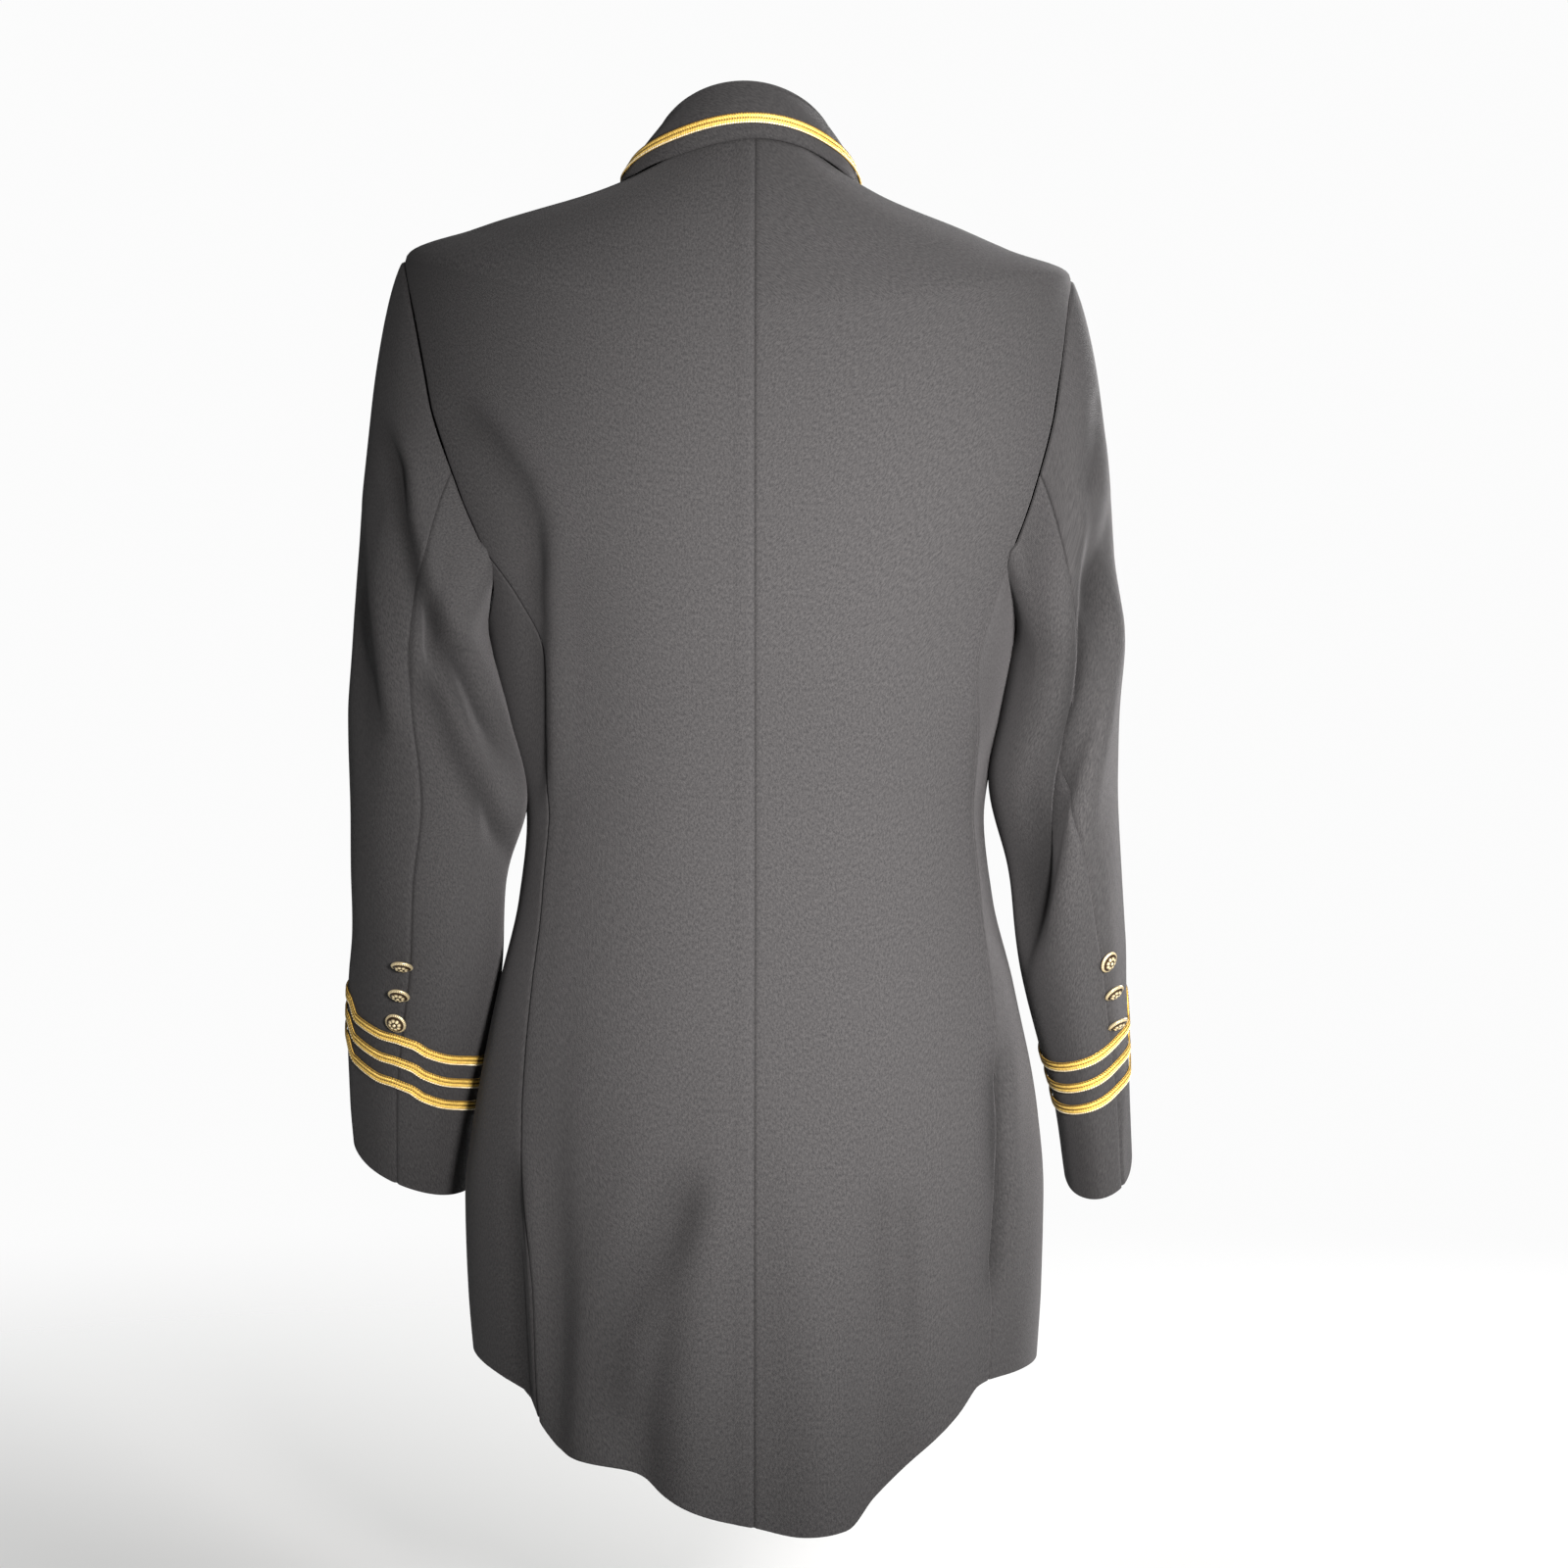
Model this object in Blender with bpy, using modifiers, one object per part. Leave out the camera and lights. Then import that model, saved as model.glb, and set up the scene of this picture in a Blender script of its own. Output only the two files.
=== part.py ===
"""A long fitted uniform jacket, filled out as if worn, with gold braid and buttons.

Metres, +Z up. The wearer would face -Y, so the back of the jacket faces +Y and the
wearer's left arm is on +X. The origin is the middle of the neck at shoulder height.
Every cloth piece is an open sheet on one of three surfaces (body, sleeve, collar)
with a Solidify modifier that adds the cloth's thickness outwards.
"""
import math
from collections import namedtuple

import bmesh
import bpy
from mathutils import Matrix, Vector

# Driving sizes
CLOTH = 0.002
SEAM_GAP = 0.0005
FOLDED_SEAM_GAP = 0.0009
LAY_GAP = 0.0005
UNDERARM_GAP = 0.0022
BRAID_WIDTH = 0.006
BRAID_THICK = 0.0012
BUTTON_RADIUS = 0.0075
BUTTON_HEIGHT = 0.0045
FRONT_BUTTON_RADIUS = 0.0105
FRONT_BUTTON_HEIGHT = 0.006
NECK_HEIGHT = 0.028
TIP_HEIGHT = -0.090
NOTCH_HEIGHT = -0.235
UNDERARM_DROP = 0.045
HEM_FLOOR = -0.83
FRONT_OVERLAP = 0.018
FRONT_CORNER = 0.05
BREAK_HEIGHT = -0.325
ARMPIT_RING = -0.300
LOW_ROWS = 17
BACK_COLUMNS = 12
FRONT_COLUMNS = 11
SIDE_COLUMNS = 6
SLEEVE_ROWS = 22
CAP_BACK_COLUMNS = 6
CAP_FRONT_COLUMNS = 8
UNDER_COLUMNS = 9
COLLAR_COLUMNS = 25
STEP = 0.001

# Distances from the middle at which a gap or an overlap is turned into an angle
SHOULDER_REACH = 0.08
CENTRE_REACH = 0.1
FRONT_REACH = 0.115
SEAM_REACH = 0.15
SLEEVE_REACH = 0.045

# Levels and angles where something starts or is complete
HEM_LEVEL = -0.75
FOLDS_FULL = -0.77
OVERLAP_START = -0.275
RIGHT_OVER_START = -0.18
RIGHT_OVER_FULL = -0.265
RIGHT_OVER_ANGLES = (156.0, 166.0)
LAPEL_CROWN = 0.002
LAPEL_CROWN_FULL = -0.20
LAPEL_ROWS = 12
LAPEL_COLUMNS = 5

# One row for each level of the body. height is the level at the centre back,
# the z columns are that level's height at the sides and the centre front.
Level = namedtuple("Level", "height side_left side_right front_z half_left half_right back front square")
LEVELS = [
    Level(0.028, 0.000, -0.008, -0.050, 0.066, 0.055, 0.058, 0.052, 2.0),
    Level(-0.030, -0.0167, -0.0285, -0.085, 0.133, 0.122, 0.085, 0.074, 2.1),
    Level(-0.060, -0.0310, -0.0450, -0.104, 0.180, 0.163, 0.093, 0.083, 2.15),
    Level(-0.090, -0.0480, -0.0600, -0.125, 0.2205, 0.1985, 0.100, 0.092, 2.2),
    Level(-0.150, -0.135, -0.140, -0.172, 0.220, 0.199, 0.107, 0.106, 2.3),
    Level(-0.200, -0.195, -0.197, -0.212, 0.204, 0.190, 0.109, 0.116, 2.35),
    Level(-0.262, -0.262, -0.262, -0.264, 0.174, 0.169, 0.107, 0.122, 2.35),
    Level(-0.300, -0.300, -0.300, -0.300, 0.1665, 0.162, 0.103, 0.119, 2.3),
    Level(-0.335, -0.335, -0.335, -0.335, 0.1585, 0.1555, 0.096, 0.113, 2.3),
    Level(-0.365, -0.365, -0.365, -0.365, 0.1505, 0.1485, 0.091, 0.107, 2.3),
    Level(-0.400, -0.400, -0.400, -0.400, 0.1445, 0.1443, 0.088, 0.103, 2.25),
    Level(-0.450, -0.450, -0.450, -0.450, 0.1495, 0.1495, 0.092, 0.104, 2.25),
    Level(-0.505, -0.505, -0.505, -0.505, 0.162, 0.163, 0.103, 0.109, 2.25),
    Level(-0.585, -0.585, -0.585, -0.585, 0.177, 0.1785, 0.117, 0.114, 2.25),
    Level(-0.635, -0.635, -0.635, -0.635, 0.183, 0.182, 0.122, 0.117, 2.25),
    Level(-0.695, -0.695, -0.695, -0.695, 0.181, 0.180, 0.126, 0.119, 2.25),
    Level(-0.745, -0.745, -0.745, -0.745, 0.1765, 0.1765, 0.1285, 0.120, 2.25),
    Level(-0.830, -0.830, -0.830, -0.830, 0.170, 0.170, 0.130, 0.121, 2.25),
]

# The hem's height at each angle. Angles run from the centre back, + to the wearer's left.
Hem = namedtuple("Hem", "angle height")
HEMS = [
    Hem(-180, -0.725), Hem(-140, -0.730), Hem(-110, -0.731), Hem(-83, -0.736), Hem(-66, -0.738),
    Hem(-58, -0.741), Hem(-50, -0.756), Hem(-42, -0.776), Hem(-33, -0.802), Hem(-24, -0.820),
    Hem(-13, -0.822), Hem(0, -0.817), Hem(9, -0.813), Hem(24, -0.799), Hem(33, -0.788),
    Hem(41, -0.782), Hem(50, -0.776), Hem(56, -0.757), Hem(60, -0.745), Hem(68, -0.737),
    Hem(83, -0.731), Hem(110, -0.728), Hem(140, -0.730), Hem(180, -0.725),
]

# Soft folds of the skirt. A fold starts at top and grows to its depth at the hem,
# + for a flare that stands out and - for a trough.
Fold = namedtuple("Fold", "angle_top angle_hem top width depth")
FOLDS = [
    Fold(8, 17, -0.50, 8, 0.005),
    Fold(14, 31, -0.58, 8, -0.010),
    Fold(30, 43, -0.55, 8, 0.008),
    Fold(57, 49, -0.42, 5, -0.006),
    Fold(-8, -16, -0.52, 9, 0.006),
    Fold(-36, -32, -0.56, 8, -0.007),
    Fold(-50, -46, -0.56, 8, 0.005),
    Fold(-66, -60, -0.45, 6, -0.004),
    Fold(104, 104, -0.50, 9, -0.004),
    Fold(-104, -104, -0.50, 9, -0.004),
    Fold(135, 138, -0.55, 10, 0.004),
    Fold(-135, -138, -0.55, 10, 0.004),
]

# Levels of the rows of corners between the neck and the armhole's notches.
TOP_ROWS = [
    0.028, 0.005, -0.018, -0.042, -0.066, -0.090, -0.098, -0.108, -0.122, -0.142, -0.165, -0.190,
    -0.213, -0.235,
]

# Seams of the body as angles at each height.
Seam = namedtuple("Seam", "height left right")
SIDE_BACK_SEAM = [
    Seam(-0.235, 71.0, 70.0), Seam(-0.270, 65.0, 67.5), Seam(-0.300, 62.0, 66.0),
    Seam(-0.360, 68.0, 73.0), Seam(-0.420, 70.5, 76.0), Seam(-0.510, 66.0, 70.0),
    Seam(-0.600, 61.0, 65.5), Seam(-0.690, 56.0, 62.0), Seam(-0.830, 54.0, 60.0),
]
SIDE_FRONT_SEAM = [
    Seam(-0.235, 110.0, 110.0), Seam(-0.430, 113.0, 113.0), Seam(-0.830, 109.0, 109.0),
]
BACK_ARMHOLE = [
    Seam(-0.090, 89.0, 89.0), Seam(-0.105, 84.0, 84.0), Seam(-0.125, 79.5, 80.0),
    Seam(-0.150, 76.0, 76.5), Seam(-0.190, 73.0, 73.0), Seam(-0.235, 71.0, 70.0),
]
FRONT_ARMHOLE = [
    Seam(-0.090, 91.0, 91.0), Seam(-0.105, 97.0, 97.0), Seam(-0.125, 101.5, 101.5),
    Seam(-0.150, 105.5, 105.5), Seam(-0.190, 109.0, 109.0), Seam(-0.235, 110.0, 110.0),
]
ROLL_LINE = [
    Seam(0.028, 118.0, 118.0), Seam(-0.030, 131.0, 131.0), Seam(-0.090, 143.0, 143.0),
    Seam(-0.150, 153.0, 153.0), Seam(-0.200, 160.5, 160.5), Seam(-0.262, 170.0, 170.0),
    Seam(-0.325, 180.0, 180.0),
]
# The lapel's free edge as angles on the body.
LAPEL_EDGE = [
    Seam(-0.040, 113.0, 113.0), Seam(-0.060, 116.0, 116.0), Seam(-0.120, 127.0, 127.0),
    Seam(-0.200, 145.0, 145.0), Seam(-0.280, 165.0, 165.0), Seam(-0.322, 177.0, 177.0),
]
LAPEL_TOP = -0.044
LAPEL_LOW = {1: -0.290, -1: -0.321}

# One row for each ring of a sleeve. rise_front and rise_out are slopes that lift
# the ring's front and outer side, because the arm bends forwards and outwards.
Ring = namedtuple("Ring", "height across along half_across half_along rise_front rise_out")
SLEEVE_RINGS = {
    1: [
        Ring(-0.300, 0.2105, 0.012, 0.0420, 0.070, 0.00, 0.00),
        Ring(-0.335, 0.2065, 0.020, 0.0475, 0.067, 0.00, 0.02),
        Ring(-0.389, 0.2005, 0.016, 0.0535, 0.059, 0.03, 0.05),
        Ring(-0.437, 0.2060, 0.006, 0.0490, 0.056, 0.08, 0.12),
        Ring(-0.481, 0.2090, -0.008, 0.0465, 0.053, 0.13, 0.22),
        Ring(-0.525, 0.2165, -0.022, 0.0432, 0.049, 0.16, 0.36),
        Ring(-0.570, 0.2225, -0.038, 0.0400, 0.046, 0.19, 0.44),
        Ring(-0.622, 0.2235, -0.053, 0.0375, 0.044, 0.28, 0.38),
    ],
    -1: [
        Ring(-0.300, 0.1965, 0.012, 0.0320, 0.074, 0.00, 0.00),
        Ring(-0.335, 0.1920, 0.020, 0.0345, 0.070, 0.00, 0.02),
        Ring(-0.375, 0.1885, 0.018, 0.0380, 0.065, 0.02, 0.06),
        Ring(-0.437, 0.1955, 0.006, 0.0348, 0.062, 0.06, 0.14),
        Ring(-0.481, 0.2005, -0.009, 0.0332, 0.059, 0.09, 0.28),
        Ring(-0.525, 0.2065, -0.024, 0.0295, 0.056, 0.12, 0.54),
        Ring(-0.570, 0.2140, -0.041, 0.0260, 0.053, 0.15, 0.62),
        Ring(-0.626, 0.2195, -0.058, 0.0245, 0.051, 0.28, 0.38),
    ],
}
# Creases of a sleeve: the angle round it at two heights, its width and its depth.
Crease = namedtuple("Crease", "angle_top angle_low top low width depth")
SLEEVE_CREASES = {
    1: [
        Crease(22, -34, -0.190, -0.370, 10, -0.004),
        Crease(62, 40, -0.230, -0.390, 12, -0.003),
        Crease(-30, -62, -0.330, -0.420, 12, -0.003),
    ],
    -1: [
        Crease(70, -40, -0.235, -0.480, 11, -0.005),
        Crease(62, 40, -0.120, -0.240, 12, -0.003),
        Crease(-20, -50, -0.330, -0.430, 12, -0.002),
    ],
}
SLEEVE_BACK_SEAM = [
    Seam(-0.10, 0.0, 0.0), Seam(-0.35, 0.0, 0.0), Seam(-0.45, 3.0, 8.0),
    Seam(-0.54, 7.0, 26.0), Seam(-0.64, 9.0, 30.0),
]
SLEEVE_FRONT_SEAM = [
    Seam(-0.10, 219.6, 219.6), Seam(-0.30, 216.0, 216.0), Seam(-0.64, 210.0, 210.0),
]
CUFF_RISE = 0.008
CUFF_RISE_ANGLE = 120.0
CUFF_RISE_WIDTH = 45.0
CUFF_RISE_LEVELS = (-0.50, -0.60)

# The armhole as a share of a turn from the shoulder tip: each notch, and how the
# sleeve leaves the armhole and reaches the armpit ring for a drop of SLEEVE_DROP.
NOTCH_SHARE = 0.36
SLEEVE_DROP = 0.25
LEAST_DROP = 0.02
LEAVE_OUT = 0.060
LEAVE_BACK = 0.035
LEAVE_DOWN = 0.50
ARRIVE_OUT = 0.010
CUFF_BUTTON_FROM_SEAM = 4.0
BRAID_ABOVE_HEM = (0.091, 0.077, 0.063)
BUTTON_ABOVE_HEM = (0.139, 0.120, 0.101)

COLLAR_END = 126.0
COLLAR_SHIFT = 0.0065
FOLD_HALF = 0.0550
FOLD_DEPTH = 0.060
FOLD_SIDE = 0.0145
FOLD_LIFT = 0.0345
FOLD_ROUND = 0.0016
FOLD_BACK = 0.003
FOLD_FRONT_DROP = 1.1
FALL_BULGE = 0.0035
FOLD_START = 0.9
FOLD_END = 1.1
COLLAR_ROWS = (0.0, 0.5, FOLD_START, 0.95, 1.05, FOLD_END, 1.4, 1.7, 2.0)
# Where the lower edge of the collar's fall lies on the body, as body levels.
FallEdge = namedtuple("FallEdge", "angle level clear")
FALL_EDGE = [
    FallEdge(-130, -0.020, 0.0030), FallEdge(-90, 0.018, 0.0030), FallEdge(-45, 0.015, 0.0035),
    FallEdge(0, 0.015, 0.0055), FallEdge(45, 0.012, 0.0035), FallEdge(90, 0.009, 0.0030),
    FallEdge(130, -0.022, 0.0030),
]
COLLAR_BRAID_FROM_EDGE = 0.0115
BRAID_END = 1.5

FRONT_BUTTON_HEIGHTS = (-0.345, -0.425, -0.505)

CLOTH_COLOUR = (0.030, 0.029, 0.031, 1.0)
GOLD_BRAID_COLOUR = (0.62, 0.36, 0.07, 1.0)
GOLD_METAL_COLOUR = (0.80, 0.58, 0.24, 1.0)


def curve(rows, key, column, at):
    """Value of a column at a key, on a smooth curve through the table's rows."""
    keys = [getattr(row, key) for row in rows]
    values = [getattr(row, column) for row in rows]
    if keys[0] > keys[-1]:
        keys.reverse()
        values.reverse()
    if at <= keys[0]:
        return values[0]
    if at >= keys[-1]:
        return values[-1]
    index = next(i for i in range(len(keys) - 1) if at <= keys[i + 1])
    slopes = [(values[i + 1] - values[i]) / (keys[i + 1] - keys[i]) for i in range(len(keys) - 1)]

    def tangent(i):
        if i == 0:
            return slopes[0]
        if i == len(keys) - 1:
            return slopes[-1]
        before, after = slopes[i - 1], slopes[i]
        if before * after <= 0.0:
            return 0.0
        return 2.0 * before * after / (before + after)

    span = keys[index + 1] - keys[index]
    t = (at - keys[index]) / span
    return (
        (2 * t ** 3 - 3 * t ** 2 + 1) * values[index]
        + (t ** 3 - 2 * t ** 2 + t) * span * tangent(index)
        + (3 * t ** 2 - 2 * t ** 3) * values[index + 1]
        + (t ** 3 - t ** 2) * span * tangent(index + 1)
    )


def ease(low, high, at):
    """0 below low, 1 above high and smooth between them."""
    t = min(1.0, max(0.0, (at - low) / (high - low)))
    return t * t * (3.0 - 2.0 * t)


def mix(a, b, t):
    return a + (b - a) * t


def fold_offset(angle, height):
    """How far the skirt's folds stand out at an angle and a height."""
    total = 0.0
    for fold in FOLDS:
        grown = ease(fold.top, FOLDS_FULL, height) if height < fold.top else 0.0
        centre = mix(fold.angle_top, fold.angle_hem, grown)
        total += fold.depth * grown * math.exp(-((angle - centre) / fold.width) ** 2)
    return total


def body_point(angle, height):
    """Inner surface of the body at an angle from the centre back and a body level."""
    turn = math.radians(angle)
    left = math.sin(turn) >= 0.0
    back = math.cos(turn) >= 0.0
    half = curve(LEVELS, "height", "half_left" if left else "half_right", height) - CLOTH
    depth = curve(LEVELS, "height", "back" if back else "front", height) - CLOTH
    power = curve(LEVELS, "height", "square", height)
    side_z = curve(LEVELS, "height", "side_left" if left else "side_right", height)
    end_z = height if back else curve(LEVELS, "height", "front_z", height)
    reach = (abs(math.sin(turn)) / half) ** power + (abs(math.cos(turn)) / depth) ** power
    radius = reach ** (-1.0 / power)
    radius += fold_offset(angle, height)
    weight = min(1.0, (radius * math.cos(turn) / depth) ** 2)
    return Vector((radius * math.sin(turn), radius * math.cos(turn), mix(side_z, end_z, weight)))


def normal_of(surface, a, b, step_a, step_b):
    """Unit normal of a surface of two values, by small differences."""
    along_a = surface(a + step_a, b) - surface(a - step_a, b)
    along_b = surface(a, b + step_b) - surface(a, b - step_b)
    return along_b.cross(along_a).normalized()


def body_normal(angle, height):
    normal = normal_of(body_point, angle, height, 0.5, STEP)
    outward = Vector((math.sin(math.radians(angle)), math.cos(math.radians(angle)), 0.3))
    return normal if normal.dot(outward) > 0.0 else -normal


def seam_angle(rows, side, height):
    return curve(rows, "height", "left" if side > 0 else "right", height)


def hem_height(angle):
    return curve(HEMS, "angle", "height", angle)


def gap_angle(reach, gap=SEAM_GAP):
    """Half of a seam's gap as an angle."""
    return math.degrees(gap / 2.0 / reach)


SEAM_GAP_ANGLE = gap_angle(SEAM_REACH, FOLDED_SEAM_GAP)


def armhole_edge(side, height, table):
    """Angle of the armhole's back or front edge."""
    return side * seam_angle(table, side, height)


def back_edge(side, height):
    """Outer edge of the back: shoulder seam, armhole and side back seam in turn."""
    if height >= TIP_HEIGHT:
        return side * (90.0 - gap_angle(SHOULDER_REACH))
    if height >= NOTCH_HEIGHT:
        return armhole_edge(side, height, BACK_ARMHOLE)
    return side * (seam_angle(SIDE_BACK_SEAM, side, height) - SEAM_GAP_ANGLE)


def front_edge(side, height):
    """Outer edge of the front: shoulder seam, armhole and side front seam in turn."""
    if height >= TIP_HEIGHT:
        return side * (90.0 + gap_angle(SHOULDER_REACH))
    if height >= NOTCH_HEIGHT:
        return armhole_edge(side, height, FRONT_ARMHOLE)
    return side * (seam_angle(SIDE_FRONT_SEAM, side, height) + SEAM_GAP_ANGLE)


def centre_edge(side, height):
    """Free edge of the front: the roll line, then the overlap past the centre front."""
    over = math.degrees(FRONT_OVERLAP / FRONT_REACH)
    if height < BREAK_HEIGHT:
        return side * (180.0 + over)
    over *= ease(OVERLAP_START, BREAK_HEIGHT, height)
    return side * (seam_angle(ROLL_LINE, side, height) + over)


def underarm_height(side, angle):
    """Height of the armhole's lower edge between the two seams of the side panel."""
    start = seam_angle(SIDE_BACK_SEAM, side, NOTCH_HEIGHT)
    end = seam_angle(SIDE_FRONT_SEAM, side, NOTCH_HEIGHT)
    t = min(1.0, max(0.0, (abs(angle) - start) / (end - start)))
    return NOTCH_HEIGHT - UNDERARM_DROP * math.sin(math.pi * t) ** 0.8


def armhole_point(side, turn):
    """Point and body normal on the armhole, from 0 at the shoulder tip, back first."""
    turn = turn % 1.0
    if turn <= NOTCH_SHARE:
        height = mix(TIP_HEIGHT, NOTCH_HEIGHT, turn / NOTCH_SHARE)
        angle = armhole_edge(side, height, BACK_ARMHOLE)
    elif turn >= 1.0 - NOTCH_SHARE:
        height = mix(TIP_HEIGHT, NOTCH_HEIGHT, (1.0 - turn) / NOTCH_SHARE)
        angle = armhole_edge(side, height, FRONT_ARMHOLE)
    else:
        t = (turn - NOTCH_SHARE) / (1.0 - 2.0 * NOTCH_SHARE)
        start = seam_angle(SIDE_BACK_SEAM, side, NOTCH_HEIGHT)
        end = seam_angle(SIDE_FRONT_SEAM, side, NOTCH_HEIGHT)
        angle = side * mix(start, end, t)
        height = underarm_height(side, angle)
    return body_point(angle, height), body_normal(angle, height)


def cuff_rise(angle):
    """Extra lift of the cuff's edge and braids on the outer front of the sleeve."""
    return CUFF_RISE * math.exp(-((angle - CUFF_RISE_ANGLE) / CUFF_RISE_WIDTH) ** 2)


def crease_offset(side, angle, height):
    total = 0.0
    for crease in SLEEVE_CREASES[side]:
        t = (height - crease.top) / (crease.low - crease.top)
        if 0.0 < t < 1.0:
            centre = mix(crease.angle_top, crease.angle_low, t)
            away = (angle - centre + 180.0) % 360.0 - 180.0
            total += crease.depth * math.sin(math.pi * t) * math.exp(-(away / crease.width) ** 2)
    return total


def ring_point(side, angle, height):
    """Inner surface of a sleeve below the armpit. Angle 0 faces back, 90 faces outwards."""
    rings = SLEEVE_RINGS[side]
    turn = math.radians(angle)
    extra = crease_offset(side, angle, height) - CLOTH
    half_across = curve(rings, "height", "half_across", height) + extra
    half_along = curve(rings, "height", "half_along", height) + extra
    across = curve(rings, "height", "across", height) + half_across * math.sin(turn)
    along = half_along * math.cos(turn)
    lift = -along * curve(rings, "height", "rise_front", height)
    lift += half_across * math.sin(turn) * curve(rings, "height", "rise_out", height)
    lift += ease(*CUFF_RISE_LEVELS, height) * cuff_rise(angle % 360.0)
    return Vector((side * across, curve(rings, "height", "along", height) + along, height + lift))


def sleeve_point(side, angle, down):
    """Inner surface of a sleeve. down is 0 at the armhole, 1 at the armpit, 2 at the hem."""
    cuff = SLEEVE_RINGS[side][-1].height
    if down >= 1.0:
        return ring_point(side, angle, mix(ARMPIT_RING, cuff, down - 1.0))
    start, normal = armhole_point(side, (90.0 - angle) / 360.0)
    end = ring_point(side, angle, ARMPIT_RING)
    outward = Vector((side * math.sin(math.radians(angle)), math.cos(math.radians(angle)), 0.0))
    fold = max(0.0, -outward.dot(Vector((normal.x, normal.y, 0.0))))
    start = start + normal * (CLOTH * (1.0 + fold) + LAY_GAP + UNDERARM_GAP * ease(0.0, 0.5, fold))
    drop = max(LEAST_DROP, start.z - end.z)
    size = drop / SLEEVE_DROP
    leave_back = LEAVE_BACK * math.cos(math.radians(angle))
    leave = Vector((side * LEAVE_OUT * size, leave_back * size, -LEAVE_DOWN * drop))
    arrive = Vector((side * ARRIVE_OUT * size, 0.0, -drop))
    t = down
    return (
        start * (2 * t ** 3 - 3 * t ** 2 + 1)
        + leave * (t ** 3 - 2 * t ** 2 + t)
        + end * (3 * t ** 2 - 2 * t ** 3)
        + arrive * (t ** 3 - t ** 2)
    )


def sleeve_down(side, above_hem):
    """The sleeve's down value at a distance above its hem."""
    cuff = SLEEVE_RINGS[side][-1].height
    return 2.0 - above_hem / (ARMPIT_RING - cuff)


def collar_edge(angle):
    """Lower edge of the collar's fall, just clear of the body."""
    level = curve(FALL_EDGE, "angle", "level", angle)
    clear = curve(FALL_EDGE, "angle", "clear", angle)
    return body_point(angle, level) + body_normal(angle, level) * (CLOTH + clear)


def collar_point(angle, across):
    """Sheet of the collar. across is 0 at the neck seam, 1 at the fold, 2 at the free edge."""
    turn = math.radians(angle)
    radial = Vector((math.sin(turn), math.cos(turn), 0.0))
    lift = FOLD_LIFT * math.cos(turn) * (1.0 if abs(angle) < 90.0 else FOLD_FRONT_DROP)
    fold = Vector((
        COLLAR_SHIFT + FOLD_HALF * math.sin(turn),
        FOLD_DEPTH * math.cos(turn) + FOLD_BACK,
        FOLD_SIDE + lift,
    ))
    seam = body_point(angle, NECK_HEIGHT) - radial * 2.0 * LAY_GAP
    edge = collar_edge(angle)
    if across <= FOLD_START:
        return seam.lerp(fold - radial * FOLD_ROUND, across / FOLD_START)
    if across <= FOLD_END:
        roll = (across - FOLD_START) / (FOLD_END - FOLD_START) * math.pi
        return fold - radial * FOLD_ROUND * math.cos(roll) + Vector((0, 0, FOLD_ROUND * math.sin(roll)))
    t = (across - FOLD_END) / (2.0 - FOLD_END)
    bulge = radial * FALL_BULGE * math.sin(math.pi * t)
    return (fold + radial * FOLD_ROUND).lerp(edge, t) + bulge


def spread(low, high, count):
    return [low + (high - low) * i / (count - 1) for i in range(count)]


def finish_material(name, colour, roughness, metallic):
    material = bpy.data.materials.new(name)
    material.use_nodes = True
    shader = material.node_tree.nodes["Principled BSDF"]
    shader.inputs["Base Color"].default_value = colour
    shader.inputs["Roughness"].default_value = roughness
    shader.inputs["Metallic"].default_value = metallic
    material.diffuse_color = colour
    return material


def sheet(name, columns, rows, point, look, thickness=CLOTH, closed=False):
    """Open sheet with a corner for each column and row, thickened outwards.

    point(column, row) gives a corner. Columns run so that, with rows going down,
    the faces look outwards.
    """
    mesh = bpy.data.meshes.new(name)
    grid = bmesh.new()
    bmesh.ops.create_grid(grid, x_segments=len(columns) - 1, y_segments=len(rows) - 1, size=1.0)
    for corner in grid.verts:
        i = round((corner.co.x + 1.0) / 2.0 * (len(columns) - 1))
        j = round((corner.co.y + 1.0) / 2.0 * (len(rows) - 1))
        corner.co = point(columns[i], rows[j])
    if closed:
        bmesh.ops.remove_doubles(grid, verts=grid.verts, dist=0.00002)
    grid.to_mesh(mesh)
    grid.free()
    mesh.shade_smooth()
    mesh.materials.append(look)
    piece = bpy.data.objects.new(name, mesh)
    JACKET.objects.link(piece)
    wall = piece.modifiers.new("Cloth thickness", "SOLIDIFY")
    wall.thickness = thickness
    wall.offset = 1.0
    return piece


def body_rows():
    """Row numbers of a back or front panel."""
    return list(range(len(TOP_ROWS) + LOW_ROWS - 1))


def row_height(row, low):
    """Level of a row: a fixed one down to the notches, then evenly down to the hem."""
    if row < len(TOP_ROWS):
        return TOP_ROWS[row]
    return mix(NOTCH_HEIGHT, low, (row - len(TOP_ROWS) + 1) / (LOW_ROWS - 1))


def back_panel(side, look):
    name = "back_left" if side > 0 else "back_right"
    shares = spread(0.0, 1.0, BACK_COLUMNS)
    middle = side * gap_angle(CENTRE_REACH)

    def point(share, row):
        share = share if side > 0 else 1.0 - share
        hem_angle = mix(middle, back_edge(side, HEM_LEVEL), share)
        height = row_height(row, hem_height(hem_angle))
        angle = mix(middle, back_edge(side, height), share)
        return body_point(angle, height)

    return sheet(name, shares, body_rows(), point, look)


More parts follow.
